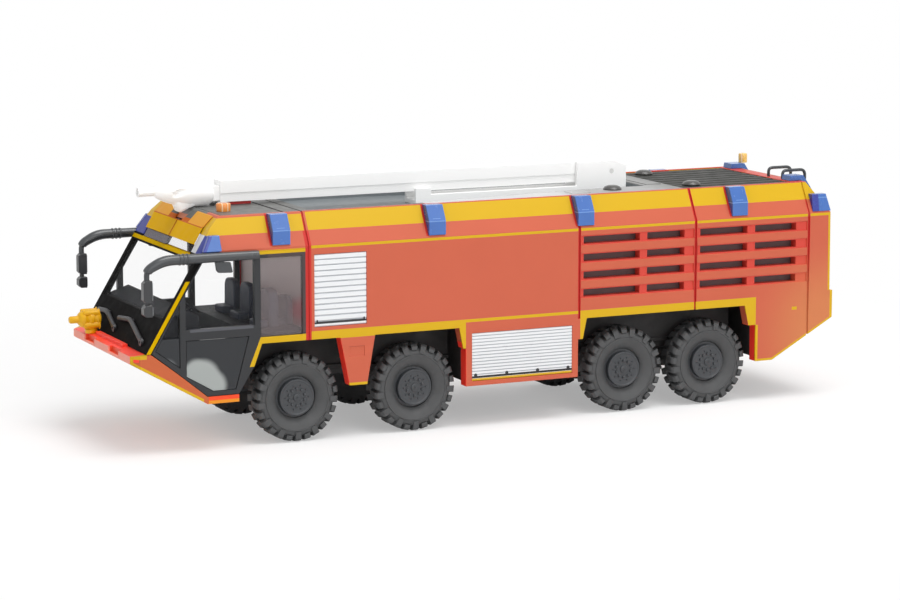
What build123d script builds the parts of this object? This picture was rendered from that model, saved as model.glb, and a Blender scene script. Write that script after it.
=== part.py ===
from build123d import *
import math
import os

# Scale model, 1:87, of an eight-wheeled airport fire truck. Millimetres, +Z up,
# front towards -X. Stations (x) are measured rearwards from the first axle.
# Small round parts are many-sided, so that the whole model stays light.

# Overall sizes
WIDTH = 34.5
FRONT_TIP = 34.0
TAIL_X = 110.2
SHOULDER_Z = 35.44
SHOULDER_H = 5.7
ROOF_INSET = 3.11
WALL = 1.0
SKIRT_T = 2.2
SEAM_W = 0.35
SEAM_DEPTH = 0.35
FIT = 0.1
BEYOND = 1.0

ORIGIN_X = (TAIL_X - FRONT_TIP) / 2
SIDE_Y = WIDTH / 2
ROOF_Y = SIDE_Y - ROOF_INSET
ROOF_Z = SHOULDER_Z + SHOULDER_H
SHOULDER_LEAN = ROOF_INSET / SHOULDER_H

# Wheels and axles
AXLES = {1: 0.0, 2: 22.96, 3: 65.87, 4: 83.88}
TYRE_R = 7.95
TYRE_W = 5.0
TYRE_OUT_Y = 15.93
LUGS = 20
WHEEL_SIDES = 16
LUG_H = 0.95
LUG_SLOPE = 1.2
SIDEWALL_R = 5.7
SIDEWALL_T = 0.15
RIM_R = 3.95
LIP_BACK = 0.5
DISH_R = 3.6
DISH_FLOOR_R = 3.05
DISH_DEPTH = 0.7
BOSS_R = 2.55
BOSS_FOOT_R = 2.8
BOSS_H = 0.3
HUB_R = 0.95
HUB_H = 0.75
WHEEL_BACK = 0.5
AXLE_R = 0.75
AXLE_PLAY = 0.06

# Side outline of the superstructure
SILL_Z = 18.5
LOCKER_Z = 7.6
ARCH_END_Z = 14.65
WEDGE_Z = 9.65
WEDGE_TOP_X = (7.7, 14.45)
WEDGE_FOOT_X = (9.47, 12.87)
ARCH_1_REAR = 31.1
LOCKER_X = (32.4, 55.3)
ARCH_2 = (57.1, 90.85)
ARCH_LEAN = 0.8
BAY_X = 93.25
BAY_CUT_X = 97.0
TAIL_FOOT_Z = 15.0
TAIL_STEP_Z = 20.3
TAIL_STEP = 0.6
TAIL_LEAN = 0.1
TAIL_ROOF_X = 105.6

# Panel seams: station and lower end
PANEL_SEAMS = ((55.5, SILL_Z), (80.0, SILL_Z), (104.7, LOCKER_Z))

# Cooling grilles: raised bars with slots between them
GRILLE_ROWS = 4
GRILLE_TOP_Z = 33.75
GRILLE_PITCH = 3.28
SLOT_H = 1.4
BAR_H = 1.5
BAR_T = 0.25
BAR_END = 0.35
GRILLE_COLUMNS = ((56.5, 68.2), (69.8, 77.7), (81.1, 91.3), (93.0, 102.0))
GRILLE_WALL = 2.1
BACKING_T = 0.6
BACKING_EDGE = 0.6

# Roller shutters: x0, x1, z0, z1
UPPER_SHUTTER = (2.8, 12.85, 20.65, 33.7)
LOWER_SHUTTER = (33.65, 54.1, 8.45, 17.35)
UPPER_SLATS = 13
LOWER_SLATS = 15
SHUTTER_T = 0.6
SLAT_DEPTH = 0.1
SLAT_RISE = 0.25
SLAT_FALL = 0.1

# Hatch in the wedge between the front wheels: x0, x1, z0, z1
WEDGE_HATCH = (9.4, 12.4, 14.9, 16.7)
HATCH_DEPTH = 0.15

# Rear face: engine grille slots, ladder and lamps
REAR_SLOTS = 5
REAR_SLOT_Z = 32.4
REAR_SLOT_PITCH = 2.1
REAR_SLOT_H = 1.0
REAR_SLOT_Y = (-1.5, 11.5)
LADDER_Y = (-9.2, -4.0)
LADDER_FOOT_Z = 21.0
LADDER_TOP_Z = 35.0
LADDER_BAR = 0.6
LADDER_RUNGS = 7
LADDER_OUT = 0.55
TAIL_LAMP_INSET = 2.65
TAIL_LAMP_W = 3.4
TAIL_LAMP_Z = (17.0, 18.8)
TAIL_LAMP_T = 0.6

# Cab
CAB_REAR = 1.5
SCREEN_FOOT_X = -28.7
SCREEN_FOOT_Z = 18.1
SCREEN_LEAN = 0.6
CAB_EAVES_Z = 34.9
ROOF_FRONT_X = -14.0
FRAME_T = 0.9
PILLAR_W = 1.3
SCREEN_SILL_Z = 23.8
SCREEN_HEAD_DROP = 1.3
SCREEN_TOP_DROP = 0.35
GLASS_T = 0.6
GLASS_SET = 0.15
DOOR_FRONT_X = -21.9
DOOR_REAR_X = -8.0
POST_W = 1.1
BELT_Z = (20.0, 21.9)
HEAD_RAIL_H = 1.2
QUARTER_FRONT_X = -27.0
QUARTER_FRONT_Z = 18.5
QUARTER_TOP_Z = 26.5
QUARTER_RISE = 0.8
DOOR_LOW_DROP = 0.8
DOOR_CORNER_Z = 28.3
DOOR_HEAD_X = -18.0
DOOR_SILL_H = 0.8
REAR_PANE_X = (-7.4, 0.5)
REAR_PANE_Z = 19.65
CAB_ARCH = (-7.2, -8.65)
ARCH_FRAME_W = 2.4
CHIN_SIDE_Z = 14.4
UPPER_GLASS_Y = 12.6
UPPER_GLASS_RISE = 4.3

# Chin and bumper: the lip has a middle block and two outer blocks with recesses between
CHIN_FRONT_X = -31.2
CHIN_TOP_Z = 17.75
CHIN_LIP_H = 1.35
LIP_STRIP_H = 0.4
LIP_RECESS_Y = (3.9, 9.5)
LIP_RECESS_T = 0.8
LIP_CHAMFER = 1.4
COWL_Y = 7.5
COWL_X = (-29.7, -28.75)
COWL_H = 0.75
STEP_X = (-17.5, -11.6)
STEP_Z = 8.5
STEP_T = 1.4

# Cab inside
CAB_FLOOR_Z = 19.6
FLOOR_T = 0.7
FLOOR_END = 0.5
DASH_FOOT_Z = 14.9
DASH_SILL_Z = 19.0
DASH_EDGE_Z = 24.0
DASH_PEAK = (-20.5, 25.2)
DASH_BACK = ((-18.6, 24.2), (-18.2, 20.4), (-21.4, 14.6))
STEERING = (-17.6, -9.0, 24.4)
STEERING_R = 1.9
STEERING_RIM = 0.35
STEERING_TILT = 35.0
SEATS = ((-5.6, -9.0), (-5.6, 0.0), (-5.6, 9.0), (-0.6, -9.0), (-0.6, 9.0))
SEAT_W = 5.4
SEAT_LENGTH = 3.8
SEAT_H = 3.0
SEAT_DIP = 0.3
SEAT_BACK_H = 8.6
SEAT_BACK_T = 1.1
HEADREST_W = 2.4
HEADREST_H = 1.3

# Front plates: lower part on the raked plane, upper part leaning back, inner corner cut;
# their foot and crease are heights above the eaves
PLATE_FOOT_RISE = 1.3
PLATE_CREASE_RISE = 4.1
PLATE_TOP = (-14.6, 40.95)
PLATE_W = 12.4
PLATE_T = 0.3
PLATE_OFF = 0.35
PLATE_GAP = 0.1
PLATE_NOTCH = (1.6, 4.3)

# Roof
LEDGE = 0.6
DECK_T = 0.9
RIM_W = 0.6
CAB_SEAM_X = -1.65
CAB_SEAM_W = 0.35
CAB_SEAM_DEPTH = 0.4
DECK_REAR_X = 79.4
LOUVRE_REAR_X = 102.6
LOUVRE_SLATS = 9
LOUVRE_DROP = 0.1
LOUVRE_DEPTH = 0.5
LOUVRE_FLAT = 0.7
LOUVRE_RAMP = 0.25
TROUGH_DEPTH = 1.74
TROUGH_FLOOR = 0.8
TROUGH_WALL = 0.2
TROUGH_REAR_X = 74.6
TROUGH_MARGIN = (1.74, 7.14)
TROUGH_TAPER_X = (25.0, 61.0)
REAR_HATCH_X = (75.4, 78.6)
REAR_HATCH_Y = 6.0
SIDE_HATCH_X = (56.2, 60.2)
SIDE_HATCH_MARGIN = 1.54
SIDE_HATCH_W = 3.2
HATCH_RISE = 0.15
REST_X = (-10.0, -8.7)
REST_Y = 1.1
LATCH_X = (-6.8, -2.6)
LATCH_Y = 0.5

# Lamps
LAMP_X = (-5.1, 25.0, 55.1, 87.75)
LAMP_W = 3.4
LAMP_FACE = 0.1
LAMP_CREASE_DROP = 2.84
LAMP_FOOT_RISE = 0.36
CORNER_LAMP_Z = (35.45, 38.1)
CORNER_LAMP_FOOT = 0.8
CORNER_LAMP_TOP = 1.0
CORNER_LAMP_X = -14.8
REAR_LAMP_X = (105.5, 109.5)
REAR_LAMP_Z = (35.7, 38.95)
REAR_LAMP_TOP = 1.4
REAR_LAMP_LEAN = 0.9
ROOF_LAMP_X = 103.0
ROOF_LAMP_INSET = 1.5
ROOF_LAMP_W = 3.0
ROOF_LAMP_H = 1.0
ROOF_LAMP_DROP = 3.4
ROOF_LAMP_BEVEL = 0.2
BEACON_FRONT = (-10.7, -7.3)
BEACON_FRONT_R = 0.95
BEACON_FRONT_H = 1.5
BEACON_REAR_X = 105.6
BEACON_REAR_R = 0.85
BEACON_REAR_H = 1.8
BEACON_SIDES = 12

# Roof fittings
DOMES = ((66.2, -9.7), (83.3, -9.4), (66.2, 9.7), (83.3, 9.4))
DOME_R = 1.75
DOME_BASE_H = 0.3
DOME_TOP_R = 0.95
DOME_H = 0.85
DOME_SIDES = 12
RAIL_X = (103.5, 108.5)
RAIL_R = 0.3
RAIL_TOP_Z = 43.05
RAIL_BEND = (1.3, 0.5)
RAIL_SIDES = 6

# Mirrors on one curved arm a side
ARM_PATH = ((-8.0, 34.5), (-24.6, 34.5), (-27.2, 33.8), (-28.7, 31.9), (-28.7, 31.2))
ARM_R = 0.78
ARM_SIDES = 6
ARM_FOOT = 1.6
COLLARS = (-21.3, -22.6)
COLLAR_R = 0.95
COLLAR_W = 0.35
HEADS = ((31.2, 27.4, 1.75, 1.7), (26.9, 24.9, 1.75, 1.9))
NECK_W = 0.9
PLATE_MIRROR_X = (-16.1, -13.1)
PLATE_MIRROR_Z = (31.7, 33.6)
PLATE_MIRROR_T = 0.5
PLATE_STEM_W = 1.1

# Bumper monitor
MONITOR = (-30.1, 9.5)
MONITOR_FOOT_R = 0.95
MONITOR_FOOT_H = 1.5
MONITOR_AXIS_Z = 2.6
MONITOR_BARREL_R = 0.65
MONITOR_SIDES = 12

# Body of the bumper monitor: radius and distance ahead of its foot
MONITOR_RINGS = ((0.9, -1.7), (1.55, -1.2), (1.75, 0.2), (1.5, 2.1), (1.05, 2.5))

# Boom, its heights measured up from the trough floor
BOOM_Y = 1.6
BOOM_FRONT_X = -8.85
BOOM_CLEAR = 2.4
RAIL_H = 1.6
TUBE_H = 2.3
RAIL_INSET = 0.2
PIN_X = 69.9
PIN_DROP = 2.05
PIN_R = 0.45
PIN_PLAY = 0.06
PIN_SEAT = 0.02
CHEEK_T = 0.7
CHEEK_GAP = 0.15
CHEEK_X = (62.5, 73.0)
CHEEK_SLOPE = (2.6, 1.0)
SADDLE_X = (29.1, 32.3)
SADDLE_H = 3.03
BASE_WALL_H = 1.8
BASE_FLOOR = 0.8
TURNTABLE_BACK = 2.4
TURNTABLE_R = 1.5
TURNTABLE_H = 0.2

TROUGH_Z = ROOF_Z - TROUGH_DEPTH
BOOM_LOW_Z = TROUGH_Z + BOOM_CLEAR
BOOM_STEP_Z = BOOM_LOW_Z + RAIL_H
BOOM_TOP_Z = BOOM_STEP_Z + TUBE_H
PIN_Z = BOOM_TOP_Z - PIN_DROP

# Boom monitor: barrel sections as distance ahead of the boom, height above the boom's
# step line, radius
HEAD_NECK = (2.2, 1.2, -1.0, 1.3)
HEAD_BARREL = (
    (1.4, -0.05, 1.6), (2.75, 0.2, 2.25), (5.85, 0.35, 2.45), (8.5, 0.55, 2.05), (10.9, 0.72, 1.4),
    (11.9, 0.8, 1.05),
)
HEAD_LOBE_ROOT = (4.05, -0.7)
HEAD_LOBE_TIP = (7.85, -2.2)
HEAD_LOBE_R = 0.85
HEAD_TRUNNION = (4.9, 0.1)
HEAD_TRUNNION_R = 1.3
HEAD_TRUNNION_Y = 2.6
HEAD_NOZZLE_R = 0.82
HEAD_NOZZLE_L = 3.2
HEAD_SIDES = 12

# Chassis
PAN_T = 1.0
SPINE_X = (-6.5, 92.0)
SPINE_Y = 9.2
SPINE_Z = 10.4
SIDE_RAIL_Z = (11.6, 12.3)
SIDE_RAIL_T = 0.5
SADDLE_W = 4.4
SADDLE_DROP = 1.7
SADDLE_Y = 6.0
PAD_X = (31.0, 56.0)
PAD_Y = 3.2
PAD_H = 0.3
SCREW_X = (34.5, 52.5)
SCREW_R = 1.0
SCREW_DEPTH = 5.0
FLAP_T = 0.6
FLAP_Z = 8.4


def prism_y(points, y0, y1):
    """Outline in x and z, drawn out along y."""
    face = make_face(Plane.XZ * Polyline(*points, close=True))
    return Pos(0, y0, 0) * extrude(face, amount=y1 - y0, dir=(0, 1, 0))


def prism_x(points, x0, x1):
    """Outline in y and z, drawn out along x."""
    face = make_face(Plane.YZ * Polyline(*points, close=True))
    return Pos(x0, 0, 0) * extrude(face, amount=x1 - x0, dir=(1, 0, 0))


def prism_z(points, z0, z1):
    """Outline in x and y, drawn out along z."""
    face = make_face(Polyline(*points, close=True))
    return Pos(0, 0, z0) * extrude(face, amount=z1 - z0)


def block(x0, x1, y0, y1, z0, z1):
    return Pos((x0 + x1) / 2, (y0 + y1) / 2, (z0 + z1) / 2) * Box(x1 - x0, y1 - y0, z1 - z0)


def rod_y(x, z, radius, y0, y1):
    return Pos(x, (y0 + y1) / 2, z) * Rot(90, 0, 0) * Cylinder(radius, y1 - y0)


def through(rings):
    """Solid with flat faces through like polygons, each a list of points in space."""
    faces = [make_face(Polyline(*rings[0], close=True)), make_face(Polyline(*rings[-1], close=True))]
    for low, high in zip(rings, rings[1:]):
        for corner in range(len(low)):
            after = (corner + 1) % len(low)
            faces.append(make_face(Polyline(low[corner], low[after], high[after], high[corner], close=True)))
    return Solid(Shell(faces))


def circle_points(radius, sides):
    """Corners of a regular polygon, the first one half a side off the first axis."""
    points = []
    for corner in range(sides):
        angle = 2 * math.pi * (corner + 0.5) / sides
        points.append((radius * math.cos(angle), radius * math.sin(angle)))
    return points


def turned(profile, sides):
    """Many-sided solid about z, from its foot up, through pairs of radius and height."""
    return through([[(x, y, z) for x, y in circle_points(radius, sides)] for radius, z in profile])


def stub(radius, length, sides):
    return turned([(radius, 0), (radius, length)], sides)


def about_y(shape):
    """A shape made about z, laid down so that its z runs along y."""
    return Rot(-90, 0, 0) * shape


def both(shape):
    """The shape and its mirror image on the other side of the centre plane."""
    return [shape, mirror(shape, about=Plane.XZ)]


def screen_x(z):
    """Station of the raked front plane at a height."""
    return SCREEN_FOOT_X + (z - SCREEN_FOOT_Z) * SCREEN_LEAN


def tail_x(z):
    """Station of the rear face between the tail step and the shoulder."""
    return TAIL_X - TAIL_STEP - (z - TAIL_STEP_Z) / (SHOULDER_Z - TAIL_STEP_Z) * TAIL_LEAN


def tail_roof_z(x):
    """Height of the sloping rear end of the roof at a station."""
    run = tail_x(SHOULDER_Z) - TAIL_ROOF_X
    return ROOF_Z - (x - TAIL_ROOF_X) / run * SHOULDER_H


def shoulder_y(z):
    """Half width of the inclined shoulder at a height."""
    return SIDE_Y - (z - SHOULDER_Z) * SHOULDER_LEAN


def hull_section(inset, z0):
    """Outline of the sides and shoulders, inset by a wall, from z0 up to the roof."""
    slant = inset * math.sqrt(1 + SHOULDER_LEAN ** 2)
    side = SIDE_Y - inset
    shoulder = SHOULDER_Z - (slant - inset) / SHOULDER_LEAN
    top_y = ROOF_Y - slant
    return [(-side, z0), (side, z0), (side, shoulder), (top_y, ROOF_Z), (-top_y, ROOF_Z), (-side, shoulder)]


def raked(half_width, z0, z1, before, behind, middle=0.0):
    """Slab along the raked front plane, from before it to behind it."""
    points = [
        (screen_x(z0) + before, z0), (screen_x(z1) + before, z1),
        (screen_x(z1) + behind, z1), (screen_x(z0) + behind, z0),
    ]
    return prism_y(points, middle - half_width, middle + half_width)


def save(name, shape):
    solids = []
    for item in shape if isinstance(shape, list) else [shape]:
        solids.extend((Pos(-ORIGIN_X, 0, 0) * item).solids())
    piece = solids[0] if len(solids) == 1 else Compound(children=solids)
    export_step(piece, f"parts/{name}.step")


def side_outline():
    """Outline of the superstructure's sides: arches, wedge, locker and rear bay."""
    front = CAB_REAR + SEAM_W
    top_0, top_1 = WEDGE_TOP_X
    foot_0, foot_1 = WEDGE_FOOT_X
    return [
        (front, ROOF_Z), (front, SILL_Z),
        (top_0, SILL_Z), (foot_0, WEDGE_Z), (foot_1, WEDGE_Z), (top_1, SILL_Z),
        (ARCH_1_REAR, SILL_Z), (ARCH_1_REAR + ARCH_LEAN, ARCH_END_Z),
        (LOCKER_X[0], ARCH_END_Z), (LOCKER_X[0], LOCKER_Z), (LOCKER_X[1], LOCKER_Z),
        (LOCKER_X[1], ARCH_END_Z), (ARCH_2[0] - ARCH_LEAN, ARCH_END_Z), (ARCH_2[0], SILL_Z),
        (ARCH_2[1], SILL_Z), (ARCH_2[1] + ARCH_LEAN, ARCH_END_Z), (BAY_X, ARCH_END_Z),
        (BAY_X, LOCKER_Z), (BAY_CUT_X, LOCKER_Z), (TAIL_X, TAIL_FOOT_Z), (TAIL_X, TAIL_STEP_Z),
        (tail_x(TAIL_STEP_Z), TAIL_STEP_Z), (tail_x(SHOULDER_Z), SHOULDER_Z), (TAIL_ROOF_X, ROOF_Z),
    ]


def superstructure():
    front = CAB_REAR + SEAM_W
    shell = prism_x(hull_section(0, LOCKER_Z), front, TAIL_X) & prism_y(side_outline(), -SIDE_Y, SIDE_Y)
    roof_under = ROOF_Z - DECK_T - LEDGE
    cavity = [
        (front + WALL, SILL_Z), (tail_x(SILL_Z) - WALL, SILL_Z), (tail_x(SHOULDER_Z) - WALL, SHOULDER_Z),
        (TAIL_ROOF_X - WALL, roof_under), (front + WALL, roof_under),
    ]
    shell -= prism_x(hull_section(WALL, SILL_Z), front, TAIL_X) & prism_y(cavity, -SIDE_Y, SIDE_Y)
    inner = SIDE_Y - SKIRT_T
    shell -= block(front, TAIL_X - SKIRT_T, -inner, inner, 0, SILL_Z)
    y = ROOF_Y - RIM_W
    shell -= block(front, LOUVRE_REAR_X, -y, y, ROOF_Z - DECK_T, ROOF_Z)
    for x0, x1 in ((front + WALL, DECK_REAR_X - LEDGE), (DECK_REAR_X + LEDGE, LOUVRE_REAR_X - LEDGE)):
        shell -= block(x0, x1, LEDGE - y, y - LEDGE, roof_under, ROOF_Z)
    for seam, low in PANEL_SEAMS:
        groove = prism_x(hull_section(0, low), seam - SEAM_W / 2, seam + SEAM_W / 2)
        shell -= groove - prism_x(hull_section(SEAM_DEPTH, low), seam - SEAM_W, seam + SEAM_W)
    shell += grille_linings()
    shell -= grille_cuts()
    for size in (UPPER_SHUTTER, LOWER_SHUTTER):
        x0, x1, z0, z1 = size
        shell -= both(block(x0, x1, SIDE_Y - SHUTTER_T, SIDE_Y + BEYOND, z0, z1))
    x0, x1, z0, z1 = WEDGE_HATCH
    shell -= both(block(x0, x1, SIDE_Y - HATCH_DEPTH, SIDE_Y + BEYOND, z0, z1))
    shell -= tail_lamps(0, TAIL_X + BEYOND)
    for row in range(REAR_SLOTS):
        top = REAR_SLOT_Z - row * REAR_SLOT_PITCH
        shell -= block(tail_x(top) - 2 * WALL, TAIL_X, *REAR_SLOT_Y, top - REAR_SLOT_H, top)
    return shell


def grille_edges():
    """Front, rear, lower and upper edge of the field of slots, with a border."""
    low = GRILLE_TOP_Z - (GRILLE_ROWS - 1) * GRILLE_PITCH - SLOT_H - BACKING_EDGE
    x0 = GRILLE_COLUMNS[0][0] - BACKING_EDGE
    x1 = GRILLE_COLUMNS[-1][1] + BACKING_EDGE
    return x0, x1, low, GRILLE_TOP_Z + BACKING_EDGE


def grille_linings():
    """Thicker walls round the slots of the two sides."""
    x0, x1, low, top = grille_edges()
    return both(block(x0, x1, SIDE_Y - GRILLE_WALL, SIDE_Y - WALL, low, top))


def grille_cuts():
    """Slots through the side walls, each in a band set back behind the raised bars."""
    cuts = []
    seams = [station for station, low in PANEL_SEAMS]
    for row in range(GRILLE_ROWS):
        top = GRILLE_TOP_Z - row * GRILLE_PITCH
        band_low = top - (GRILLE_PITCH + SLOT_H - BAR_H) / 2
        band_top = band_low + GRILLE_PITCH - BAR_H
        for x0, x1 in zip(seams, seams[1:]):
            band = block(x0 + BAR_END, x1 - BAR_END, SIDE_Y - BAR_T, SIDE_Y + BEYOND, band_low, band_top)
            cuts += both(band)
        for x0, x1 in GRILLE_COLUMNS:
            cuts += both(block(x0, x1, SIDE_Y - GRILLE_WALL - BEYOND, SIDE_Y, top - SLOT_H, top))
    return cuts


def grille_backings():
    """Dark plates that close the side grilles and the rear grille from inside."""
    x0, x1, low, top = grille_edges()
    y1 = SIDE_Y - GRILLE_WALL - FIT
    plates = both(block(x0, x1, y1 - BACKING_T, y1, low, top))
    low = REAR_SLOT_Z - (REAR_SLOTS - 1) * REAR_SLOT_PITCH - REAR_SLOT_H - BACKING_EDGE
    top = REAR_SLOT_Z + BACKING_EDGE
    near = -WALL - FIT
    outline = [
        (tail_x(low) + near, low), (tail_x(top) + near, top),
        (tail_x(top) + near - BACKING_T, top), (tail_x(low) + near - BACKING_T, low),
    ]
    plates.append(prism_y(outline, REAR_SLOT_Y[0] - BACKING_EDGE, REAR_SLOT_Y[1] + BACKING_EDGE))
    return plates


def shutter(size, slats):
    """Roller shutter whose slats are a row of shallow ridges."""
    x0, x1, z0, z1 = size
    gap = FIT / 2
    face = SIDE_Y - FIT
    pitch = (z1 - z0 - 2 * gap) / slats
    profile = [(SIDE_Y - SHUTTER_T + gap, z1 - gap), (SIDE_Y - SHUTTER_T + gap, z0 + gap)]
    for slat in range(slats):
        foot = z0 + gap + slat * pitch
        top = foot + pitch * (1 - SLAT_FALL)
        profile += [(face - SLAT_DEPTH, foot), (face, foot + pitch * SLAT_RISE), (face, top)]
    profile.append((face - SLAT_DEPTH, z1 - gap))
    return both(prism_x(profile, x0 + gap, x1 - gap))


def ladder():
    """Ladder on the rear face, below the two handrails."""
    def along(z0, z1, near, far, y0, y1):
        low_x, high_x = tail_x(z0), tail_x(z1)
        points = [(low_x + near, z0), (high_x + near, z1), (high_x + far, z1), (low_x + far, z0)]
        return prism_y(points, y0, y1)

    y0, y1 = LADDER_Y
    half = LADDER_BAR / 2
    foot = LADDER_FOOT_Z
    frame = along(foot, LADDER_TOP_Z, FIT, LADDER_OUT, y0 - half, y0 + half)
    frame += along(foot, LADDER_TOP_Z, FIT, LADDER_OUT, y1 - half, y1 + half)
    pitch = (LADDER_TOP_Z - foot) / LADDER_RUNGS
    for rung in range(LADDER_RUNGS):
        z = foot + pitch * (rung + 0.5)
        frame += along(z - half / 2, z + half / 2, 2 * FIT, LADDER_OUT - FIT, y0, y1)
    return frame


def tail_lamps(gap=FIT / 2, rear=TAIL_X):
    """Lamps flush with the rear face, or their pockets where no gap is asked for."""
    z0, z1 = TAIL_LAMP_Z
    middle = SIDE_Y - TAIL_LAMP_INSET
    y0 = middle - TAIL_LAMP_W / 2 + gap
    y1 = middle + TAIL_LAMP_W / 2 - gap
    return both(block(TAIL_X - TAIL_LAMP_T + gap, rear, y0, y1, z0 + gap, z1 - gap))


def roof_deck():
    """Roof deck with the tapering trough of the boom and raised hatches."""
    y = ROOF_Y - RIM_W - FIT
    x0 = CAB_REAR + SEAM_W
    under = ROOF_Z - DECK_T
    tray = block(x0, DECK_REAR_X - FIT / 2, -y, y, under, ROOF_Z)
    start = x0 + WALL + DECK_T + FIT
    wide, narrow = [ROOF_Y - margin for margin in TROUGH_MARGIN]
    taper_0, taper_1 = TROUGH_TAPER_X

    def trough(grow):
        half = [
            (start - grow, wide + grow), (taper_0, wide + grow),
            (taper_1, narrow + grow), (TROUGH_REAR_X + grow, narrow + grow),
        ]
        return half + [(px, -py) for px, py in reversed(half)]

    tray += prism_z(trough(TROUGH_WALL), TROUGH_Z - TROUGH_FLOOR, ROOF_Z)
    tray -= prism_z(trough(0), TROUGH_Z, ROOF_Z)
    hatch_z = ROOF_Z + HATCH_RISE
    tray += block(*REAR_HATCH_X, -REAR_HATCH_Y, REAR_HATCH_Y, under, hatch_z)
    y1 = ROOF_Y - SIDE_HATCH_MARGIN
    for hatch in both(block(*SIDE_HATCH_X, y1 - SIDE_HATCH_W, y1, under, hatch_z)):
        tray += hatch
    return tray


def louvre_panel():
    """Cover behind the deck with lengthwise slats, each a low ramp."""
    y = ROOF_Y - RIM_W - FIT
    x0 = DECK_REAR_X + FIT / 2
    under = ROOF_Z - DECK_T
    top = ROOF_Z - LOUVRE_DROP
    pitch = 2 * y / LOUVRE_SLATS
    profile = [(y, under), (-y, under)]
    for slat in range(LOUVRE_SLATS):
        foot = slat * pitch - y
        edge = foot + pitch * LOUVRE_FLAT
        profile += [(foot, top), (edge, top), (edge + pitch * LOUVRE_RAMP, top - LOUVRE_DEPTH)]
    profile.append((y, top - LOUVRE_DEPTH))
    return prism_x(profile, x0, LOUVRE_REAR_X - FIT)


def chassis():
    """Pan under the superstructure, spine, axle saddles open below, and mudguard ends."""
    y = SIDE_Y - WALL - FIT
    pan = block(CAB_REAR + SEAM_W + WALL + FIT, tail_x(SILL_Z) - WALL - FIT, -y, y, SILL_Z, SILL_Z + PAN_T)
    pan += block(SPINE_X[0], SPINE_X[1], -SPINE_Y, SPINE_Y, SPINE_Z, SILL_Z)
    pan += block(SPINE_X[0], CAB_REAR, -SPINE_Y, SPINE_Y, SILL_Z, CAB_FLOOR_Z)
    rail_y = SPINE_Y + SIDE_RAIL_T
    pan += block(SPINE_X[0], SPINE_X[1], -rail_y, rail_y, *SIDE_RAIL_Z)
    pan += block(PAD_X[0], PAD_X[1], -PAD_Y, PAD_Y, SPINE_Z - PAD_H, SPINE_Z)
    for x in SCREW_X:
        pan -= Pos(x, 0, SPINE_Z - PAD_H + SCREW_DEPTH / 2) * Cylinder(SCREW_R, SCREW_DEPTH)
    for x in AXLES.values():
        pan += block(x - SADDLE_W / 2, x + SADDLE_W / 2, -SADDLE_Y, SADDLE_Y, TYRE_R - SADDLE_DROP, SPINE_Z)
        bore = AXLE_R + AXLE_PLAY
        pan -= rod_y(x, TYRE_R, bore, -SADDLE_Y - BEYOND, SADDLE_Y + BEYOND)
        pan -= block(x - bore, x + bore, -SADDLE_Y - BEYOND, SADDLE_Y + BEYOND, 0, TYRE_R)
    flap_y = SIDE_Y - SKIRT_T - FIT
    for foot, side in ((LOCKER_X[0], 1), (LOCKER_X[1], -1), (BAY_X, 1)):
        ends = sorted((foot, foot + side * FLAP_T))
        pan += block(ends[0], ends[1], -flap_y, flap_y, FLAP_Z, SILL_Z)
    return pan


def lug_outline(turn):
    """Cog outline of one row of lugs, with flat lug tops at the tyre's radius."""
    half = 360 / LUGS / 4
    tip = TYRE_R / math.cos(math.radians(half - LUG_SLOPE))
    root = TYRE_R - LUG_H
    points = []
    for lug in range(LUGS):
        middle = turn + (lug - LUGS / 4) * 360 / LUGS
        for radius, side in ((root, -half), (tip, LUG_SLOPE - half), (tip, half - LUG_SLOPE), (root, half)):
            angle = math.radians(middle + side)
            points.append((radius * math.cos(angle), radius * math.sin(angle)))
    return points


def tyre():
    """Tyre about y with two staggered rows of lugs, its outer face at y = 0."""
    middle = -(TYRE_W + SIDEWALL_T) / 2
    body = prism_y(lug_outline(0), middle, -SIDEWALL_T)
    body += prism_y(lug_outline(180 / LUGS), -TYRE_W, middle)
    body += about_y(turned([(SIDEWALL_R, -SIDEWALL_T), (SIDEWALL_R, 0)], LUGS))
    bore = RIM_R + FIT / 2
    body -= about_y(turned([(bore, -TYRE_W - BEYOND), (bore, BEYOND)], WHEEL_SIDES))
    return body


def wheel():
    """Wheel about y with a dished face, a raised boss and a hub."""
    lip = -LIP_BACK
    floor = lip - DISH_DEPTH
    profile = [
        (RIM_R, WHEEL_BACK - TYRE_W), (RIM_R, lip), (DISH_R, lip), (DISH_FLOOR_R, floor),
        (BOSS_FOOT_R, floor), (BOSS_R, floor + BOSS_H), (HUB_R, floor + BOSS_H), (HUB_R, floor + HUB_H),
    ]
    return about_y(turned(profile, WHEEL_SIDES))


def axle(x):
    """Axle shaft with its two wheels, one rigid piece."""
    reach = TYRE_OUT_Y - LIP_BACK - DISH_DEPTH
    shaft = rod_y(x, TYRE_R, AXLE_R, -reach, reach)
    for side in both(Pos(x, TYRE_OUT_Y, TYRE_R) * wheel()):
        shaft += side
    return shaft


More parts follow.
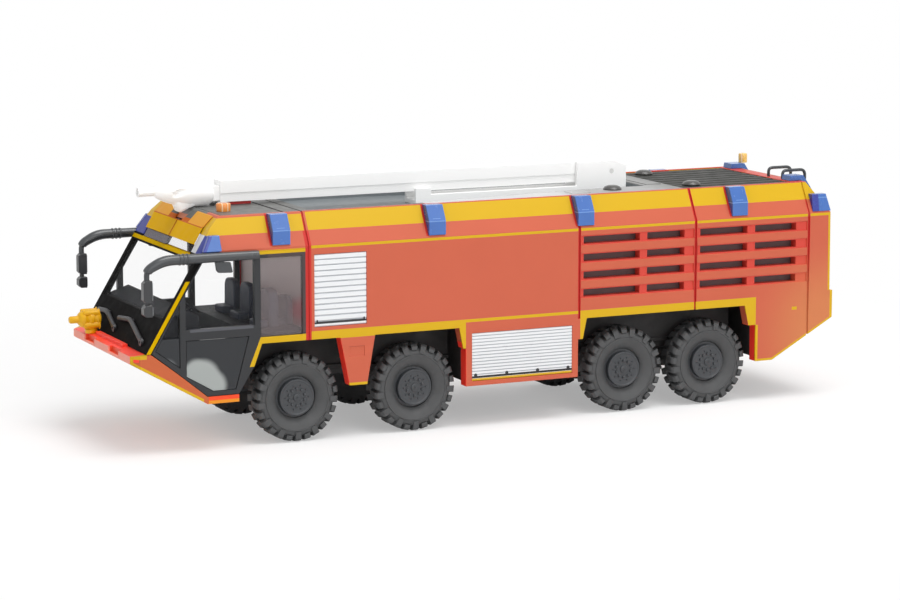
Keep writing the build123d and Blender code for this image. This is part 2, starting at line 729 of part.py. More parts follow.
def cab_roof():
    """Hollow cab roof, open below, with an opening for the upper glass."""
    front = screen_x(CAB_EAVES_Z)
    crease_z = CAB_EAVES_Z + PLATE_CREASE_RISE
    side = [
        (front, CAB_EAVES_Z), (CAB_REAR, CAB_EAVES_Z), (CAB_REAR, ROOF_Z), (ROOF_FRONT_X, ROOF_Z),
        (screen_x(crease_z), crease_z),
    ]
    shell = prism_x(hull_section(0, CAB_EAVES_Z), front, CAB_REAR) & prism_y(side, -SIDE_Y, SIDE_Y)
    under = ROOF_Z - DECK_T - LEDGE
    inner = [
        (front + WALL, CAB_EAVES_Z), (CAB_REAR - WALL, CAB_EAVES_Z), (CAB_REAR - WALL, under),
        (ROOF_FRONT_X, under),
    ]
    shell -= prism_x(hull_section(WALL, CAB_EAVES_Z), front, CAB_REAR) & prism_y(inner, -SIDE_Y, SIDE_Y)
    y = ROOF_Y - RIM_W
    x0 = ROOF_FRONT_X + RIM_W
    shell -= block(x0, CAB_REAR, -y, y, ROOF_Z - DECK_T, ROOF_Z)
    shell -= block(x0 + LEDGE, CAB_REAR - WALL, LEDGE - y, y - LEDGE, under, ROOF_Z)
    shell -= raked(UPPER_GLASS_Y, CAB_EAVES_Z, CAB_EAVES_Z + UPPER_GLASS_RISE, -BEYOND, 2 * WALL)
    return shell


def cab_deck():
    """Cab roof deck with a seam, the block under the boom's front and its latch bar."""
    y = ROOF_Y - RIM_W - FIT
    x0 = ROOF_FRONT_X + RIM_W + FIT
    deck = block(x0, CAB_REAR, -y, y, ROOF_Z - DECK_T, ROOF_Z)
    half = CAB_SEAM_W / 2
    deck -= block(CAB_SEAM_X - half, CAB_SEAM_X + half, -y, y, ROOF_Z - CAB_SEAM_DEPTH, ROOF_Z)
    top = BOOM_LOW_Z - FIT
    deck += block(REST_X[0], REST_X[1], -REST_Y, REST_Y, ROOF_Z - DECK_T, top)
    deck += block(LATCH_X[0], LATCH_X[1], -LATCH_Y, LATCH_Y, ROOF_Z - DECK_T, top)
    return deck


def windscreen_frame():
    frame = raked(SIDE_Y, SCREEN_FOOT_Z, CAB_EAVES_Z, 0, FRAME_T)
    head = CAB_EAVES_Z - SCREEN_HEAD_DROP
    frame -= raked(SIDE_Y - PILLAR_W, SCREEN_SILL_Z, head, -BEYOND, FRAME_T + BEYOND)
    frame -= raked(UPPER_GLASS_Y, CAB_EAVES_Z - SCREEN_TOP_DROP, CAB_EAVES_Z, -BEYOND, FRAME_T + BEYOND)
    return frame


def windscreen():
    head = CAB_EAVES_Z - SCREEN_HEAD_DROP - FIT
    return raked(SIDE_Y - PILLAR_W - FIT, SCREEN_SILL_Z + FIT, head, GLASS_SET, GLASS_SET + GLASS_T)


def upper_glass():
    z0 = CAB_EAVES_Z - SCREEN_TOP_DROP + FIT
    z1 = CAB_EAVES_Z + UPPER_GLASS_RISE - FIT
    return raked(UPPER_GLASS_Y - FIT, z0, z1, GLASS_SET, GLASS_SET + GLASS_T)


def side_wall_outline():
    """Outline of a cab side between the chin, the arch and the eaves."""
    front = FRAME_T + FIT
    step_top = STEP_Z + STEP_T
    return [
        (screen_x(SCREEN_FOOT_Z) + front, SCREEN_FOOT_Z), (screen_x(CAB_EAVES_Z) + front, CAB_EAVES_Z),
        (CAB_REAR, CAB_EAVES_Z), (CAB_REAR, SILL_Z), (CAB_ARCH[0], SILL_Z), (CAB_ARCH[1], ARCH_END_Z),
        (STEP_X[1], step_top), (STEP_X[0], step_top), (DOOR_FRONT_X - POST_W, CHIN_SIDE_Z),
    ]


def panes(gap):
    """Faces of the four windows of one side, shrunk by a gap."""
    half = POST_W / 2
    front, rear = DOOR_FRONT_X, DOOR_REAR_X
    low = STEP_Z + STEP_T + DOOR_SILL_H
    head = CAB_EAVES_Z - HEAD_RAIL_H
    quarter = [
        (front - half, CHIN_SIDE_Z + QUARTER_RISE), (QUARTER_FRONT_X, QUARTER_FRONT_Z),
        (front - half, QUARTER_TOP_Z),
    ]
    door_low = [
        (front + half, CHIN_SIDE_Z - DOOR_LOW_DROP), (STEP_X[0] + POST_W, low), (STEP_X[1] - half, low),
        (CAB_ARCH[1] - ARCH_FRAME_W, ARCH_END_Z), (CAB_ARCH[0] - ARCH_FRAME_W, BELT_Z[0]),
        (front + half, BELT_Z[0]),
    ]
    door_high = [
        (front + half, BELT_Z[1]), (rear - half, BELT_Z[1]), (rear - half, head), (DOOR_HEAD_X, head),
        (front + half, DOOR_CORNER_Z),
    ]
    x0, x1 = REAR_PANE_X
    rear_pane = [(x0, REAR_PANE_Z), (x1, REAR_PANE_Z), (x1, head), (x0, head)]
    outlines = (quarter, door_low, door_high, rear_pane)
    faces = [make_face(Plane.XZ * Polyline(*points, close=True)) for points in outlines]
    if gap:
        faces = [offset(face, amount=-gap, kind=Kind.INTERSECTION) for face in faces]
    return faces


def side_frame():
    wall = prism_y(side_wall_outline(), SIDE_Y - FRAME_T, SIDE_Y)
    for face in panes(0):
        window = extrude(face, amount=FRAME_T + 2 * BEYOND, dir=(0, 1, 0))
        wall -= Pos(0, SIDE_Y - FRAME_T - BEYOND, 0) * window
    return wall


def side_glass():
    y0 = SIDE_Y - GLASS_SET - GLASS_T
    return [Pos(0, y0, 0) * extrude(face, amount=GLASS_T, dir=(0, 1, 0)) for face in panes(FIT)]


def chin():
    """Sloping nose under the windscreen, with the bumper lip, the cowl and the door steps."""
    lip_low = CHIN_TOP_Z - CHIN_LIP_H
    foot = screen_x(SCREEN_FOOT_Z)
    step_top = STEP_Z + STEP_T - FIT
    outline = [
        (CHIN_FRONT_X, lip_low), (CHIN_FRONT_X, CHIN_TOP_Z), (foot, SCREEN_FOOT_Z - FIT),
        (foot + FRAME_T, SCREEN_FOOT_Z - FIT), (DOOR_FRONT_X - POST_W, CHIN_SIDE_Z - FIT),
        (STEP_X[0], step_top), (STEP_X[1], step_top), (STEP_X[1], STEP_Z), (STEP_X[0], STEP_Z),
    ]
    nose = prism_y(outline, -SIDE_Y, SIDE_Y)
    nose += block(COWL_X[0], COWL_X[1], -COWL_Y, COWL_Y, CHIN_TOP_Z, CHIN_TOP_Z + COWL_H)
    y0, y1 = LIP_RECESS_Y
    back = CHIN_FRONT_X + LIP_RECESS_T
    nose -= both(block(CHIN_FRONT_X, back, y0, y1, lip_low + LIP_STRIP_H, CHIN_TOP_Z + COWL_H))
    corner = [
        (CHIN_FRONT_X, SIDE_Y), (CHIN_FRONT_X, SIDE_Y - LIP_CHAMFER), (CHIN_FRONT_X + LIP_CHAMFER, SIDE_Y),
    ]
    nose -= both(prism_z(corner, 0, ROOF_Z))
    return nose


def cab_floor():
    y = SIDE_Y - FRAME_T - FIT
    step_top = STEP_Z + STEP_T
    arch_x = CAB_ARCH[0] - 2 * FLOOR_END
    outline = [
        (STEP_X[0], step_top), (STEP_X[1] - FLOOR_END, step_top), (arch_x, CAB_FLOOR_Z),
        (CAB_REAR, CAB_FLOOR_Z), (CAB_REAR, CAB_FLOOR_Z + FLOOR_T), (arch_x - FLOOR_END, CAB_FLOOR_Z + FLOOR_T),
        (STEP_X[1] - 2 * FLOOR_END, step_top + FLOOR_T), (STEP_X[0], step_top + FLOOR_T),
    ]
    return prism_y(outline, -y, y)


def dashboard():
    """Dashboard cowl across the cab with the steering wheel on its column."""
    y = SIDE_Y - FRAME_T - 2 * FIT
    near = FRAME_T + FIT
    outline = [
        (screen_x(DASH_SILL_Z) + near, DASH_SILL_Z), (screen_x(DASH_EDGE_Z) + near, DASH_EDGE_Z), DASH_PEAK,
        *DASH_BACK, (DOOR_FRONT_X - POST_W, DASH_FOOT_Z),
    ]
    cowl = prism_y(outline, -y, y)
    x, wheel_y, z = STEERING
    rim = stub(STEERING_R, STEERING_RIM, BEACON_SIDES)
    rim -= stub(STEERING_R - STEERING_RIM, STEERING_RIM, BEACON_SIDES)
    rim += Pos(0, 0, STEERING_RIM / 2) * Box(2 * STEERING_R - STEERING_RIM, STEERING_RIM, STEERING_RIM)
    rim += Pos(0, 0, -STEERING_R) * stub(STEERING_RIM, STEERING_R, RAIL_SIDES)
    return cowl + Pos(x, wheel_y, z) * Rot(0, STEERING_TILT, 0) * rim


def seats():
    """Front row of three seats and two behind, each with a headrest."""
    solids = []
    floor = CAB_FLOOR_Z + FLOOR_T
    for x, y in SEATS:
        back = x + SEAT_BACK_T
        side = [
            (back - SEAT_LENGTH, floor), (back - SEAT_LENGTH, floor + SEAT_H), (x, floor + SEAT_H - SEAT_DIP),
            (x, floor + SEAT_BACK_H), (back, floor + SEAT_BACK_H), (back, floor),
        ]
        seat = prism_y(side, y - SEAT_W / 2, y + SEAT_W / 2)
        top = floor + SEAT_BACK_H
        seat += block(x, back, y - HEADREST_W / 2, y + HEADREST_W / 2, top, top + HEADREST_H)
        solids.append(seat)
    return solids


def front_plates():
    """A pair of bent plates before the upper glass, notched where they meet."""
    off = -PLATE_OFF
    z0 = CAB_EAVES_Z + PLATE_FOOT_RISE
    z1 = CAB_EAVES_Z + PLATE_CREASE_RISE
    top_x, top_z = PLATE_TOP
    profile = [
        (screen_x(z0) + off, z0), (screen_x(z1) + off, z1), (top_x, top_z),
        (top_x + PLATE_T, top_z), (screen_x(z1) + off + PLATE_T, z1), (screen_x(z0) + off + PLATE_T, z0),
    ]
    plate = prism_y(profile, PLATE_GAP, PLATE_GAP + PLATE_W)
    notch = [(-BEYOND, z1), (PLATE_NOTCH[0], z1), (PLATE_NOTCH[1], top_z + BEYOND), (-BEYOND, top_z + BEYOND)]
    plate -= prism_x(notch, screen_x(z0) - BEYOND, 0)
    return both(plate)


def side_lamps():
    """Lamps over the shoulder: leaning above the crease, upright below it."""
    out_y = SIDE_Y + LAMP_FACE
    top_y = out_y - LAMP_CREASE_DROP * SHOULDER_LEAN
    foot_z = SHOULDER_Z + LAMP_FOOT_RISE
    clear = FIT / 2
    profile = [
        (ROOF_Y + clear, ROOF_Z), (top_y, ROOF_Z), (out_y, ROOF_Z - LAMP_CREASE_DROP), (out_y, foot_z),
        (shoulder_y(foot_z) + clear, foot_z),
    ]
    lamps = []
    for x in LAMP_X:
        lamps += both(prism_x(profile, x, x + LAMP_W))
    return lamps


def corner_profile(z0, z1, foot_t, top_t):
    """Section of a lamp that lies on the shoulder, with its own thickness at foot and top."""
    clear = FIT / 2
    foot_y = shoulder_y(z0) + clear
    top_y = shoulder_y(z1) + clear
    return [(foot_y, z0), (top_y, z1), (top_y + top_t, z1), (foot_y + foot_t, z0)]


def front_corner_lamps():
    z0, z1 = CORNER_LAMP_Z
    lamp = prism_x(corner_profile(z0, z1, CORNER_LAMP_FOOT, CORNER_LAMP_TOP), screen_x(z0), CORNER_LAMP_X)
    cut = [(screen_x(z0), z0), (screen_x(z1), z1), (CORNER_LAMP_X, z1), (CORNER_LAMP_X, z0)]
    lamp &= prism_y(cut, 0, SIDE_Y + 2 * BEYOND)
    return both(lamp)


def roof_lamp():
    """Bent bar that lies on the roof and comes down over its sloping rear end."""
    run = tail_x(SHOULDER_Z) - TAIL_ROOF_X
    slope = math.hypot(run, SHOULDER_H)
    out_x, out_z = SHOULDER_H / slope, run / slope
    miter = out_x / (1 + out_z)
    end_x = TAIL_ROOF_X + ROOF_LAMP_DROP / SHOULDER_H * run
    end_z = ROOF_Z - ROOF_LAMP_DROP
    clear, thick = FIT / 2, ROOF_LAMP_H
    outline = [
        (ROOF_LAMP_X, ROOF_Z + clear), (ROOF_LAMP_X + ROOF_LAMP_BEVEL, ROOF_Z + thick),
        (TAIL_ROOF_X + thick * miter, ROOF_Z + thick), (end_x + thick * out_x, end_z + thick * out_z),
        (end_x + clear * out_x, end_z + clear * out_z), (TAIL_ROOF_X + clear * miter, ROOF_Z + clear),
    ]
    y1 = ROOF_Y - ROOF_LAMP_INSET
    return prism_y(outline, y1 - ROOF_LAMP_W, y1)


def rear_corner_lamps():
    """Wedges on the rear shoulders and bent bars over the rear edge of the roof."""
    x0, x1 = REAR_LAMP_X
    z0, z1 = REAR_LAMP_Z
    low = prism_x(corner_profile(z0, z1, FIT, REAR_LAMP_TOP), x0, x1)
    low &= prism_y([(x0, z0), (x1, z0), (x1 - REAR_LAMP_LEAN, z1), (x0, z1)], 0, SIDE_Y + 2 * BEYOND)
    return both(low) + both(roof_lamp())


def roof_domes():
    """Round vents, a low drum with a flat dome."""
    profile = [(DOME_R, 0), (DOME_R, DOME_BASE_H), (DOME_TOP_R, DOME_H)]
    return [Pos(x, y, ROOF_Z) * turned(profile, DOME_SIDES) for x, y in DOMES]


def beacons():
    x, y = BEACON_FRONT
    front = Pos(x, y, ROOF_Z) * stub(BEACON_FRONT_R, BEACON_FRONT_H, BEACON_SIDES)
    y = ROOF_Y - ROOF_LAMP_INSET - ROOF_LAMP_W / 2
    rear = Pos(BEACON_REAR_X, y, ROOF_Z + ROOF_LAMP_H) * stub(BEACON_REAR_R, BEACON_REAR_H, BEACON_SIDES)
    return [front, rear]


def handrails():
    """Two arches at the head of the ladder."""
    front, rear = RAIL_X
    bend_0, bend_1 = RAIL_BEND
    end = tail_roof_z(rear - RAIL_R) + FIT
    rails = []
    for y in LADDER_Y:
        path = Polyline(
            (front, y, ROOF_Z), (front, y, RAIL_TOP_Z - bend_0), (front + bend_0, y, RAIL_TOP_Z),
            (rear - bend_1, y, RAIL_TOP_Z), (rear, y, RAIL_TOP_Z - bend_1), (rear, y, end),
        )
        ring = Plane(origin=(front, y, ROOF_Z), z_dir=(0, 0, 1)) * RegularPolygon(RAIL_R, RAIL_SIDES)
        rails.append(sweep(ring, path=path, transition=Transition.RIGHT))
    return rails


def mirror_assembly():
    """Curved arm with its foot, three collars, two mirror heads and a kerb mirror."""
    y = SIDE_Y + ARM_R + FIT
    root_x, root_z = ARM_PATH[0]
    tip_x, tip_z = ARM_PATH[-1]
    path = Polyline(*((x, y, z) for x, z in ARM_PATH))
    ring = Plane(origin=(root_x, y, root_z), z_dir=(-1, 0, 0)) * RegularPolygon(ARM_R, ARM_SIDES)
    arm = sweep(ring, path=path, transition=Transition.RIGHT)
    arm += block(root_x - ARM_FOOT, root_x, SIDE_Y + FIT, y, root_z - ARM_R, root_z + ARM_R)
    for x in COLLARS:
        arm += Pos(x, y, root_z) * Rot(0, 90, 0) * stub(COLLAR_R, COLLAR_W, ARM_SIDES)
    arm += block(tip_x - NECK_W / 2, tip_x + NECK_W / 2, y - NECK_W / 2, y + NECK_W / 2, HEADS[-1][1], tip_z)
    for top, low, length, width in HEADS:
        chamfer_w = length / 4
        x0, x1 = tip_x - length / 2, tip_x + length / 2
        outline = [
            (x0, low + chamfer_w), (x0 + chamfer_w, low), (x1 - chamfer_w, low), (x1, low + chamfer_w),
            (x1, top - chamfer_w), (x1 - chamfer_w, top), (x0 + chamfer_w, top), (x0, top - chamfer_w),
        ]
        arm += prism_y(outline, y - width / 2, y + width / 2)
    x0, x1 = PLATE_MIRROR_X
    z0, z1 = PLATE_MIRROR_Z
    arm += block(x0, x1, y - PLATE_MIRROR_T / 2, y + PLATE_MIRROR_T / 2, z0, z1)
    middle = (x0 + x1) / 2
    arm += block(middle - PLATE_STEM_W / 2, middle + PLATE_STEM_W / 2, y, y + PLATE_MIRROR_T / 2, z0, root_z)
    return arm


def front_monitor():
    """Water monitor on the bumper: a foot and a rounded body with a barrel."""
    x, y = MONITOR
    foot_z = CHIN_TOP_Z + (x - CHIN_FRONT_X) / (SCREEN_FOOT_X - CHIN_FRONT_X) * (SCREEN_FOOT_Z - CHIN_TOP_Z)
    foot = Pos(x, y, foot_z) * stub(MONITOR_FOOT_R, MONITOR_FOOT_H, MONITOR_SIDES)
    root = MONITOR_RINGS[-1][1]
    profile = [*MONITOR_RINGS, (MONITOR_BARREL_R, root), (MONITOR_BARREL_R, FRONT_TIP + x)]
    return foot + Pos(x, y, foot_z + MONITOR_AXIS_Z) * Rot(0, -90, 0) * turned(profile, MONITOR_SIDES)


def boom_base():
    """Fixed base in the trough: low walls, the middle saddle and the cheeks of the pin."""
    out_y = BOOM_Y + CHEEK_GAP + CHEEK_T
    in_y = BOOM_Y + CHEEK_GAP
    wall_z = TROUGH_Z + BASE_WALL_H
    saddle_0, saddle_1 = SADDLE_X
    cheek_0, cheek_1 = CHEEK_X
    slope_x, slope_z = CHEEK_SLOPE
    base = block(saddle_0, cheek_1, -out_y, out_y, TROUGH_Z, wall_z)
    base += block(saddle_0, saddle_1, -out_y, out_y, TROUGH_Z, TROUGH_Z + SADDLE_H)
    outline = [
        (cheek_0, TROUGH_Z), (cheek_0, BOOM_TOP_Z), (cheek_1 - slope_x, BOOM_TOP_Z),
        (cheek_1, BOOM_TOP_Z - slope_z), (cheek_1, TROUGH_Z),
    ]
    base += prism_y(outline, -out_y, out_y)
    floor_z = TROUGH_Z + BASE_FLOOR
    base -= block(saddle_0 - BEYOND, cheek_1 + BEYOND, -in_y, in_y, floor_z, BOOM_TOP_Z + BEYOND)
    base -= rod_y(PIN_X, PIN_Z, PIN_R, -out_y - BEYOND, out_y + BEYOND)
    return base


def boom_pin():
    out_y = BOOM_Y + CHEEK_GAP + CHEEK_T
    return rod_y(PIN_X, PIN_Z, PIN_R - PIN_SEAT, -out_y, out_y)


def boom():
    """Tube on a narrower rail, with a round heel about the pin."""
    tube = block(BOOM_FRONT_X, PIN_X, -BOOM_Y, BOOM_Y, BOOM_STEP_Z, BOOM_TOP_Z)
    y = BOOM_Y - RAIL_INSET
    tube += block(BOOM_FRONT_X, PIN_X, -y, y, BOOM_LOW_Z, BOOM_STEP_Z)
    heel = rod_y(PIN_X, PIN_Z, PIN_DROP, -BOOM_Y, BOOM_Y)
    heel -= block(PIN_X - 2 * PIN_DROP, PIN_X, -WIDTH, WIDTH, 0, 2 * ROOF_Z)
    tube += heel
    tube += Pos(PIN_X - TURNTABLE_BACK, 0, BOOM_TOP_Z) * stub(TURNTABLE_R, TURNTABLE_H, DOME_SIDES)
    tube -= rod_y(PIN_X, PIN_Z, PIN_R + PIN_PLAY, -BOOM_Y - BEYOND, BOOM_Y + BEYOND)
    return tube


def boom_head():
    """Monitor at the boom's front: neck, barrel, trunnion, lower lobe and nozzle."""
    length, half_w, low, high = HEAD_NECK
    front = BOOM_FRONT_X - FIT
    head = block(front - length, front, -half_w, half_w, BOOM_STEP_Z + low, BOOM_STEP_Z + high)
    rings = []
    for ahead, up, radius in HEAD_BARREL:
        x, z = BOOM_FRONT_X - ahead, BOOM_STEP_Z + up
        rings.append([(x, across, z + rise) for across, rise in circle_points(radius, HEAD_SIDES)])
    head += through(rings)
    root_x, root_z = HEAD_LOBE_ROOT
    tip_x, tip_z = HEAD_LOBE_TIP
    reach = math.hypot(tip_x - root_x, tip_z - root_z)
    along = Plane(
        origin=(BOOM_FRONT_X - root_x, 0, BOOM_STEP_Z + root_z), x_dir=(0, 1, 0),
        z_dir=(root_x - tip_x, 0, tip_z - root_z),
    )
    head += extrude(along * RegularPolygon(HEAD_LOBE_R, HEAD_SIDES), amount=reach)
    x, z = HEAD_TRUNNION
    trunnion = stub(HEAD_TRUNNION_R, 2 * HEAD_TRUNNION_Y, HEAD_SIDES)
    head += Pos(BOOM_FRONT_X - x, -HEAD_TRUNNION_Y, BOOM_STEP_Z + z) * about_y(trunnion)
    ahead, up, radius = HEAD_BARREL[-1]
    nozzle = stub(HEAD_NOZZLE_R, HEAD_NOZZLE_L, HEAD_SIDES)
    head += Pos(BOOM_FRONT_X - ahead, 0, BOOM_STEP_Z + up) * Rot(0, -90, 0) * nozzle
    return head


def build():
    os.makedirs("parts", exist_ok=True)
    save("chassis", chassis())
    save("body_shell", superstructure())
    save("roof_deck", roof_deck())
    save("roof_louvre", louvre_panel())
    save("grille_backings", grille_backings())
    save("upper_shutters", shutter(UPPER_SHUTTER, UPPER_SLATS))
    save("lower_shutters", shutter(LOWER_SHUTTER, LOWER_SLATS))
    save("rear_ladder", ladder())
    save("tail_lamps", tail_lamps())
    save("cab_roof", cab_roof())
    save("cab_deck", cab_deck())
    save("windscreen_frame", windscreen_frame())
    save("windscreen", windscreen())
    save("upper_glass", upper_glass())
    save("chin", chin())
    save("cab_floor", cab_floor())
    save("dashboard", dashboard())
    save("seats", seats())
    save("front_plates", front_plates())
    save("side_lamps", side_lamps())
    save("front_corner_lamps", front_corner_lamps())
    save("rear_corner_lamps", rear_corner_lamps())
    save("roof_domes", roof_domes())
    save("beacons", beacons())
    save("handrails", handrails())
    save("front_monitor", front_monitor())
    save("boom_base", boom_base())
    save("boom_pin", boom_pin())
    save("boom", boom())
    save("boom_head", boom_head())
    for name, shape in (("side_frame", side_frame()), ("mirror", mirror_assembly())):
        for side, piece in zip(("right", "left"), both(shape)):
            save(f"{name}_{side}", piece)
    save("side_glass_right", side_glass())
    save("side_glass_left", [mirror(pane, about=Plane.XZ) for pane in side_glass()])
    for number, x in AXLES.items():
        save(f"axle_{number}", axle(x))
        for side, piece in zip(("right", "left"), both(Pos(x, TYRE_OUT_Y, TYRE_R) * tyre())):
            save(f"tyre_{number}_{side}", piece)


build()
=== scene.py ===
import math

import bmesh
import bpy
from bpy.props import FloatProperty, FloatVectorProperty, IntProperty, PointerProperty
from mathutils import Matrix, Vector


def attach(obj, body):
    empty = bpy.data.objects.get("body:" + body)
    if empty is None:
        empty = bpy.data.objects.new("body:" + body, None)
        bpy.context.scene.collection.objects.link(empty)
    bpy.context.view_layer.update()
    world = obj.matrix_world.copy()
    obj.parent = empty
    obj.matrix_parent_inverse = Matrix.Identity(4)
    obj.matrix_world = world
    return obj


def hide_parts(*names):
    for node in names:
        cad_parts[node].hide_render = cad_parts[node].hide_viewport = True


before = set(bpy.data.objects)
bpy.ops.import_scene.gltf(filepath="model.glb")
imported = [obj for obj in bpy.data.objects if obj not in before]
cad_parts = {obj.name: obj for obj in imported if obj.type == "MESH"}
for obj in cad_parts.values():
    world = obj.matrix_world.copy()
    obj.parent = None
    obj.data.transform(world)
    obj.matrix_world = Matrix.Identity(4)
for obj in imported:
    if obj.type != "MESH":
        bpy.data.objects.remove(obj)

bl_info = {
    "name": "Airport Fire Truck Model",
    "version": (1, 0, 0),
    "blender": (4, 5, 0),
    "location": "3D View > Sidebar > Fire Truck",
    "description": "Dresses the packed scale model of an airport fire truck",
    "category": "Object",
}

# Lengths are in millimetres and stations (x) count rearwards from the first axle.
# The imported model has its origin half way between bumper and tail.
MM = 0.001
MIDDLE_X = 38.1
SIDE_Y = 17.25
RAKE = 0.6
SCREEN_FOOT = (-28.7, 18.1)
AXLES = {1: 0.0, 2: 22.96, 3: 65.87, 4: 83.88}
AXLE_Z = 7.95
TYRE_OUT_Y = 15.93
LAMPS = (-5.1, 25.0, 55.1, 87.75)
SEAMS = (55.5, 80.0, 104.7)

# Points further out than these lie on the skin of the body and of the cab's sides.
SKIN_Y = 17.0
CAB_SKIN_Y = 17.1

# Yellow bands of the superstructure: the broad one and the line on its shoulder,
# and those of its side as boxes (x0, x1, z0, z1) and outlines in x and z.
BAND_Z = (37.95, 41.0)
BAND_SPANS = ((2.25, 24.64), (28.4, 54.74), (58.5, 79.7), (80.3, 87.39), (91.15, 111))
LINE_Z = (34.85, 35.35)
LINE_SPANS = ((2.25, 55.2), (55.8, 79.7), (80.3, 104.4), (105.0, 111))
SIDE_BOXES = (
    (2.2, 32.4, 18.4, 20.0), (32.4, 55.3, 19.45, 20.0), (55.75, 93.25, 18.4, 20.0), (8.5, 13.9, 9.6, 10.15),
    (93.2, 93.75, 7.5, 14.65), (93.2, 97.2, 7.5, 8.05), (109.65, 110.3, 15.0, 20.3), (101.2, 102.3, 17.0, 17.6),
)
SIDE_SHAPES = (
    [(30.9, 18.6), (31.9, 14.6), (32.4, 14.6), (32.4, 18.6)],
    [(55.75, 14.6), (56.3, 14.6), (57.2, 18.6), (55.75, 18.6)],
    [(90.8, 18.6), (91.7, 14.6), (93.25, 14.6), (93.25, 18.6)],
    [(96.9, 7.4), (110.4, 14.9), (110.4, 15.55), (96.9, 8.05)],
    [(109.15, 20.3), (109.8, 20.3), (109.6, 35.4), (109.0, 35.4)],
)

# Stage, in metres and watts: name, place, size and power of each softbox.
LIGHTS = (
    ("Top softbox", (0.12, -0.22, 0.8), 0.5, 4.6),
    ("Camera side softbox", (0.1, -0.85, 0.42), 0.8, 2.7),
    ("Front softbox", (-0.8, -0.2, 0.4), 0.6, 0.6),
)
LIGHT_AIM = (0, 0, 0.02)
CAMERA_PLACE = (-0.2316, -0.4977, 0.1095)
CAMERA_AIM = (-0.0009, 0, 0.02073)
CAMERA_LENS = 118.74
WORLD_LIGHT = 0.42
FLOOR_TONE = 0.96
# The floor's shadow shows in full to the first distance and fades out by the second.
SHADOW_FADE = (0.085, 0.17)


def tone(colour):
    """Scene colour of a property, or of three numbers from 0 to 255 as they look on a screen."""
    if not isinstance(colour, tuple):
        return tuple(colour)
    shares = [value / 255 for value in colour]
    return tuple(c / 12.92 if c <= 0.04045 else ((c + 0.055) / 1.055) ** 2.4 for c in shares)


def colour_property(name, description, shade):
    return FloatVectorProperty(
        name=name, description=description, subtype="COLOR", size=3, min=0, max=1, default=tone(shade)
    )


def length_property(name, description, millimetres):
    return FloatProperty(
        name=name, description=description, subtype="DISTANCE", unit="LENGTH", min=0, precision=5,
        default=millimetres * MM,
    )


class TruckColours(bpy.types.PropertyGroup):
    body: colour_property("Body", "Orange-red of the superstructure", (196, 93, 66))
    # A deeper red painted as the shade in seams, slots and joints
    shade_red: colour_property("Seams", "Full red in the seams and slots", (196, 42, 36))
    band: colour_property("Bands", "Yellow of the printed bands", (208, 166, 4))
    lamp: colour_property("Blue lamps", "Blue of the lamps on the shoulders", (54, 102, 176))
    beacon: colour_property("Beacons", "Amber of the round beacons", (236, 140, 40))
    boom: colour_property("Boom", "White of the boom and its monitor", (250, 250, 249))
    deck: colour_property("Deck", "Grey of the roof deck", (97, 97, 95))
    trim: colour_property("Trim", "Dark grey of mirrors and rails", (52, 55, 58))
    tyre: colour_property("Tyres", "Dark grey of the soft tyres", (70, 71, 72))
    wheel: colour_property("Wheels", "Dark grey of the wheel discs", (50, 53, 57))
    seat: colour_property("Chairs", "Blue-grey of the seats", (34, 42, 62))


class TruckSizes(bpy.types.PropertyGroup):
    edge: length_property("Edge rounding", "Rounding of the moulded edges", 0.09)
    fine_edge: length_property("Fine edge rounding", "Rounding of small parts' edges", 0.05)
    arm: length_property("Mirror arm radius", "Radius of the mirror arms", 0.78)
    lugs: IntProperty(name="Tyre lugs", description="Lugs in each of a tyre's two rows", default=26, min=8, max=60)
    bolts: IntProperty(name="Wheel bolts", description="Bolts round each hub", default=10, min=3, max=24)


def looks():
    return bpy.context.scene.truck_colours


def sizes():
    return bpy.context.scene.truck_sizes


# Nodes and finishes

def fill(node, values):
    """Sets plain values on a node's inputs."""
    for name, value in values.items():
        node.inputs[name].default_value = value


def shader_node(tree, kind, **settings):
    node = tree.nodes.new("ShaderNode" + kind)
    for name, value in settings.items():
        setattr(node, name, value)
    return node


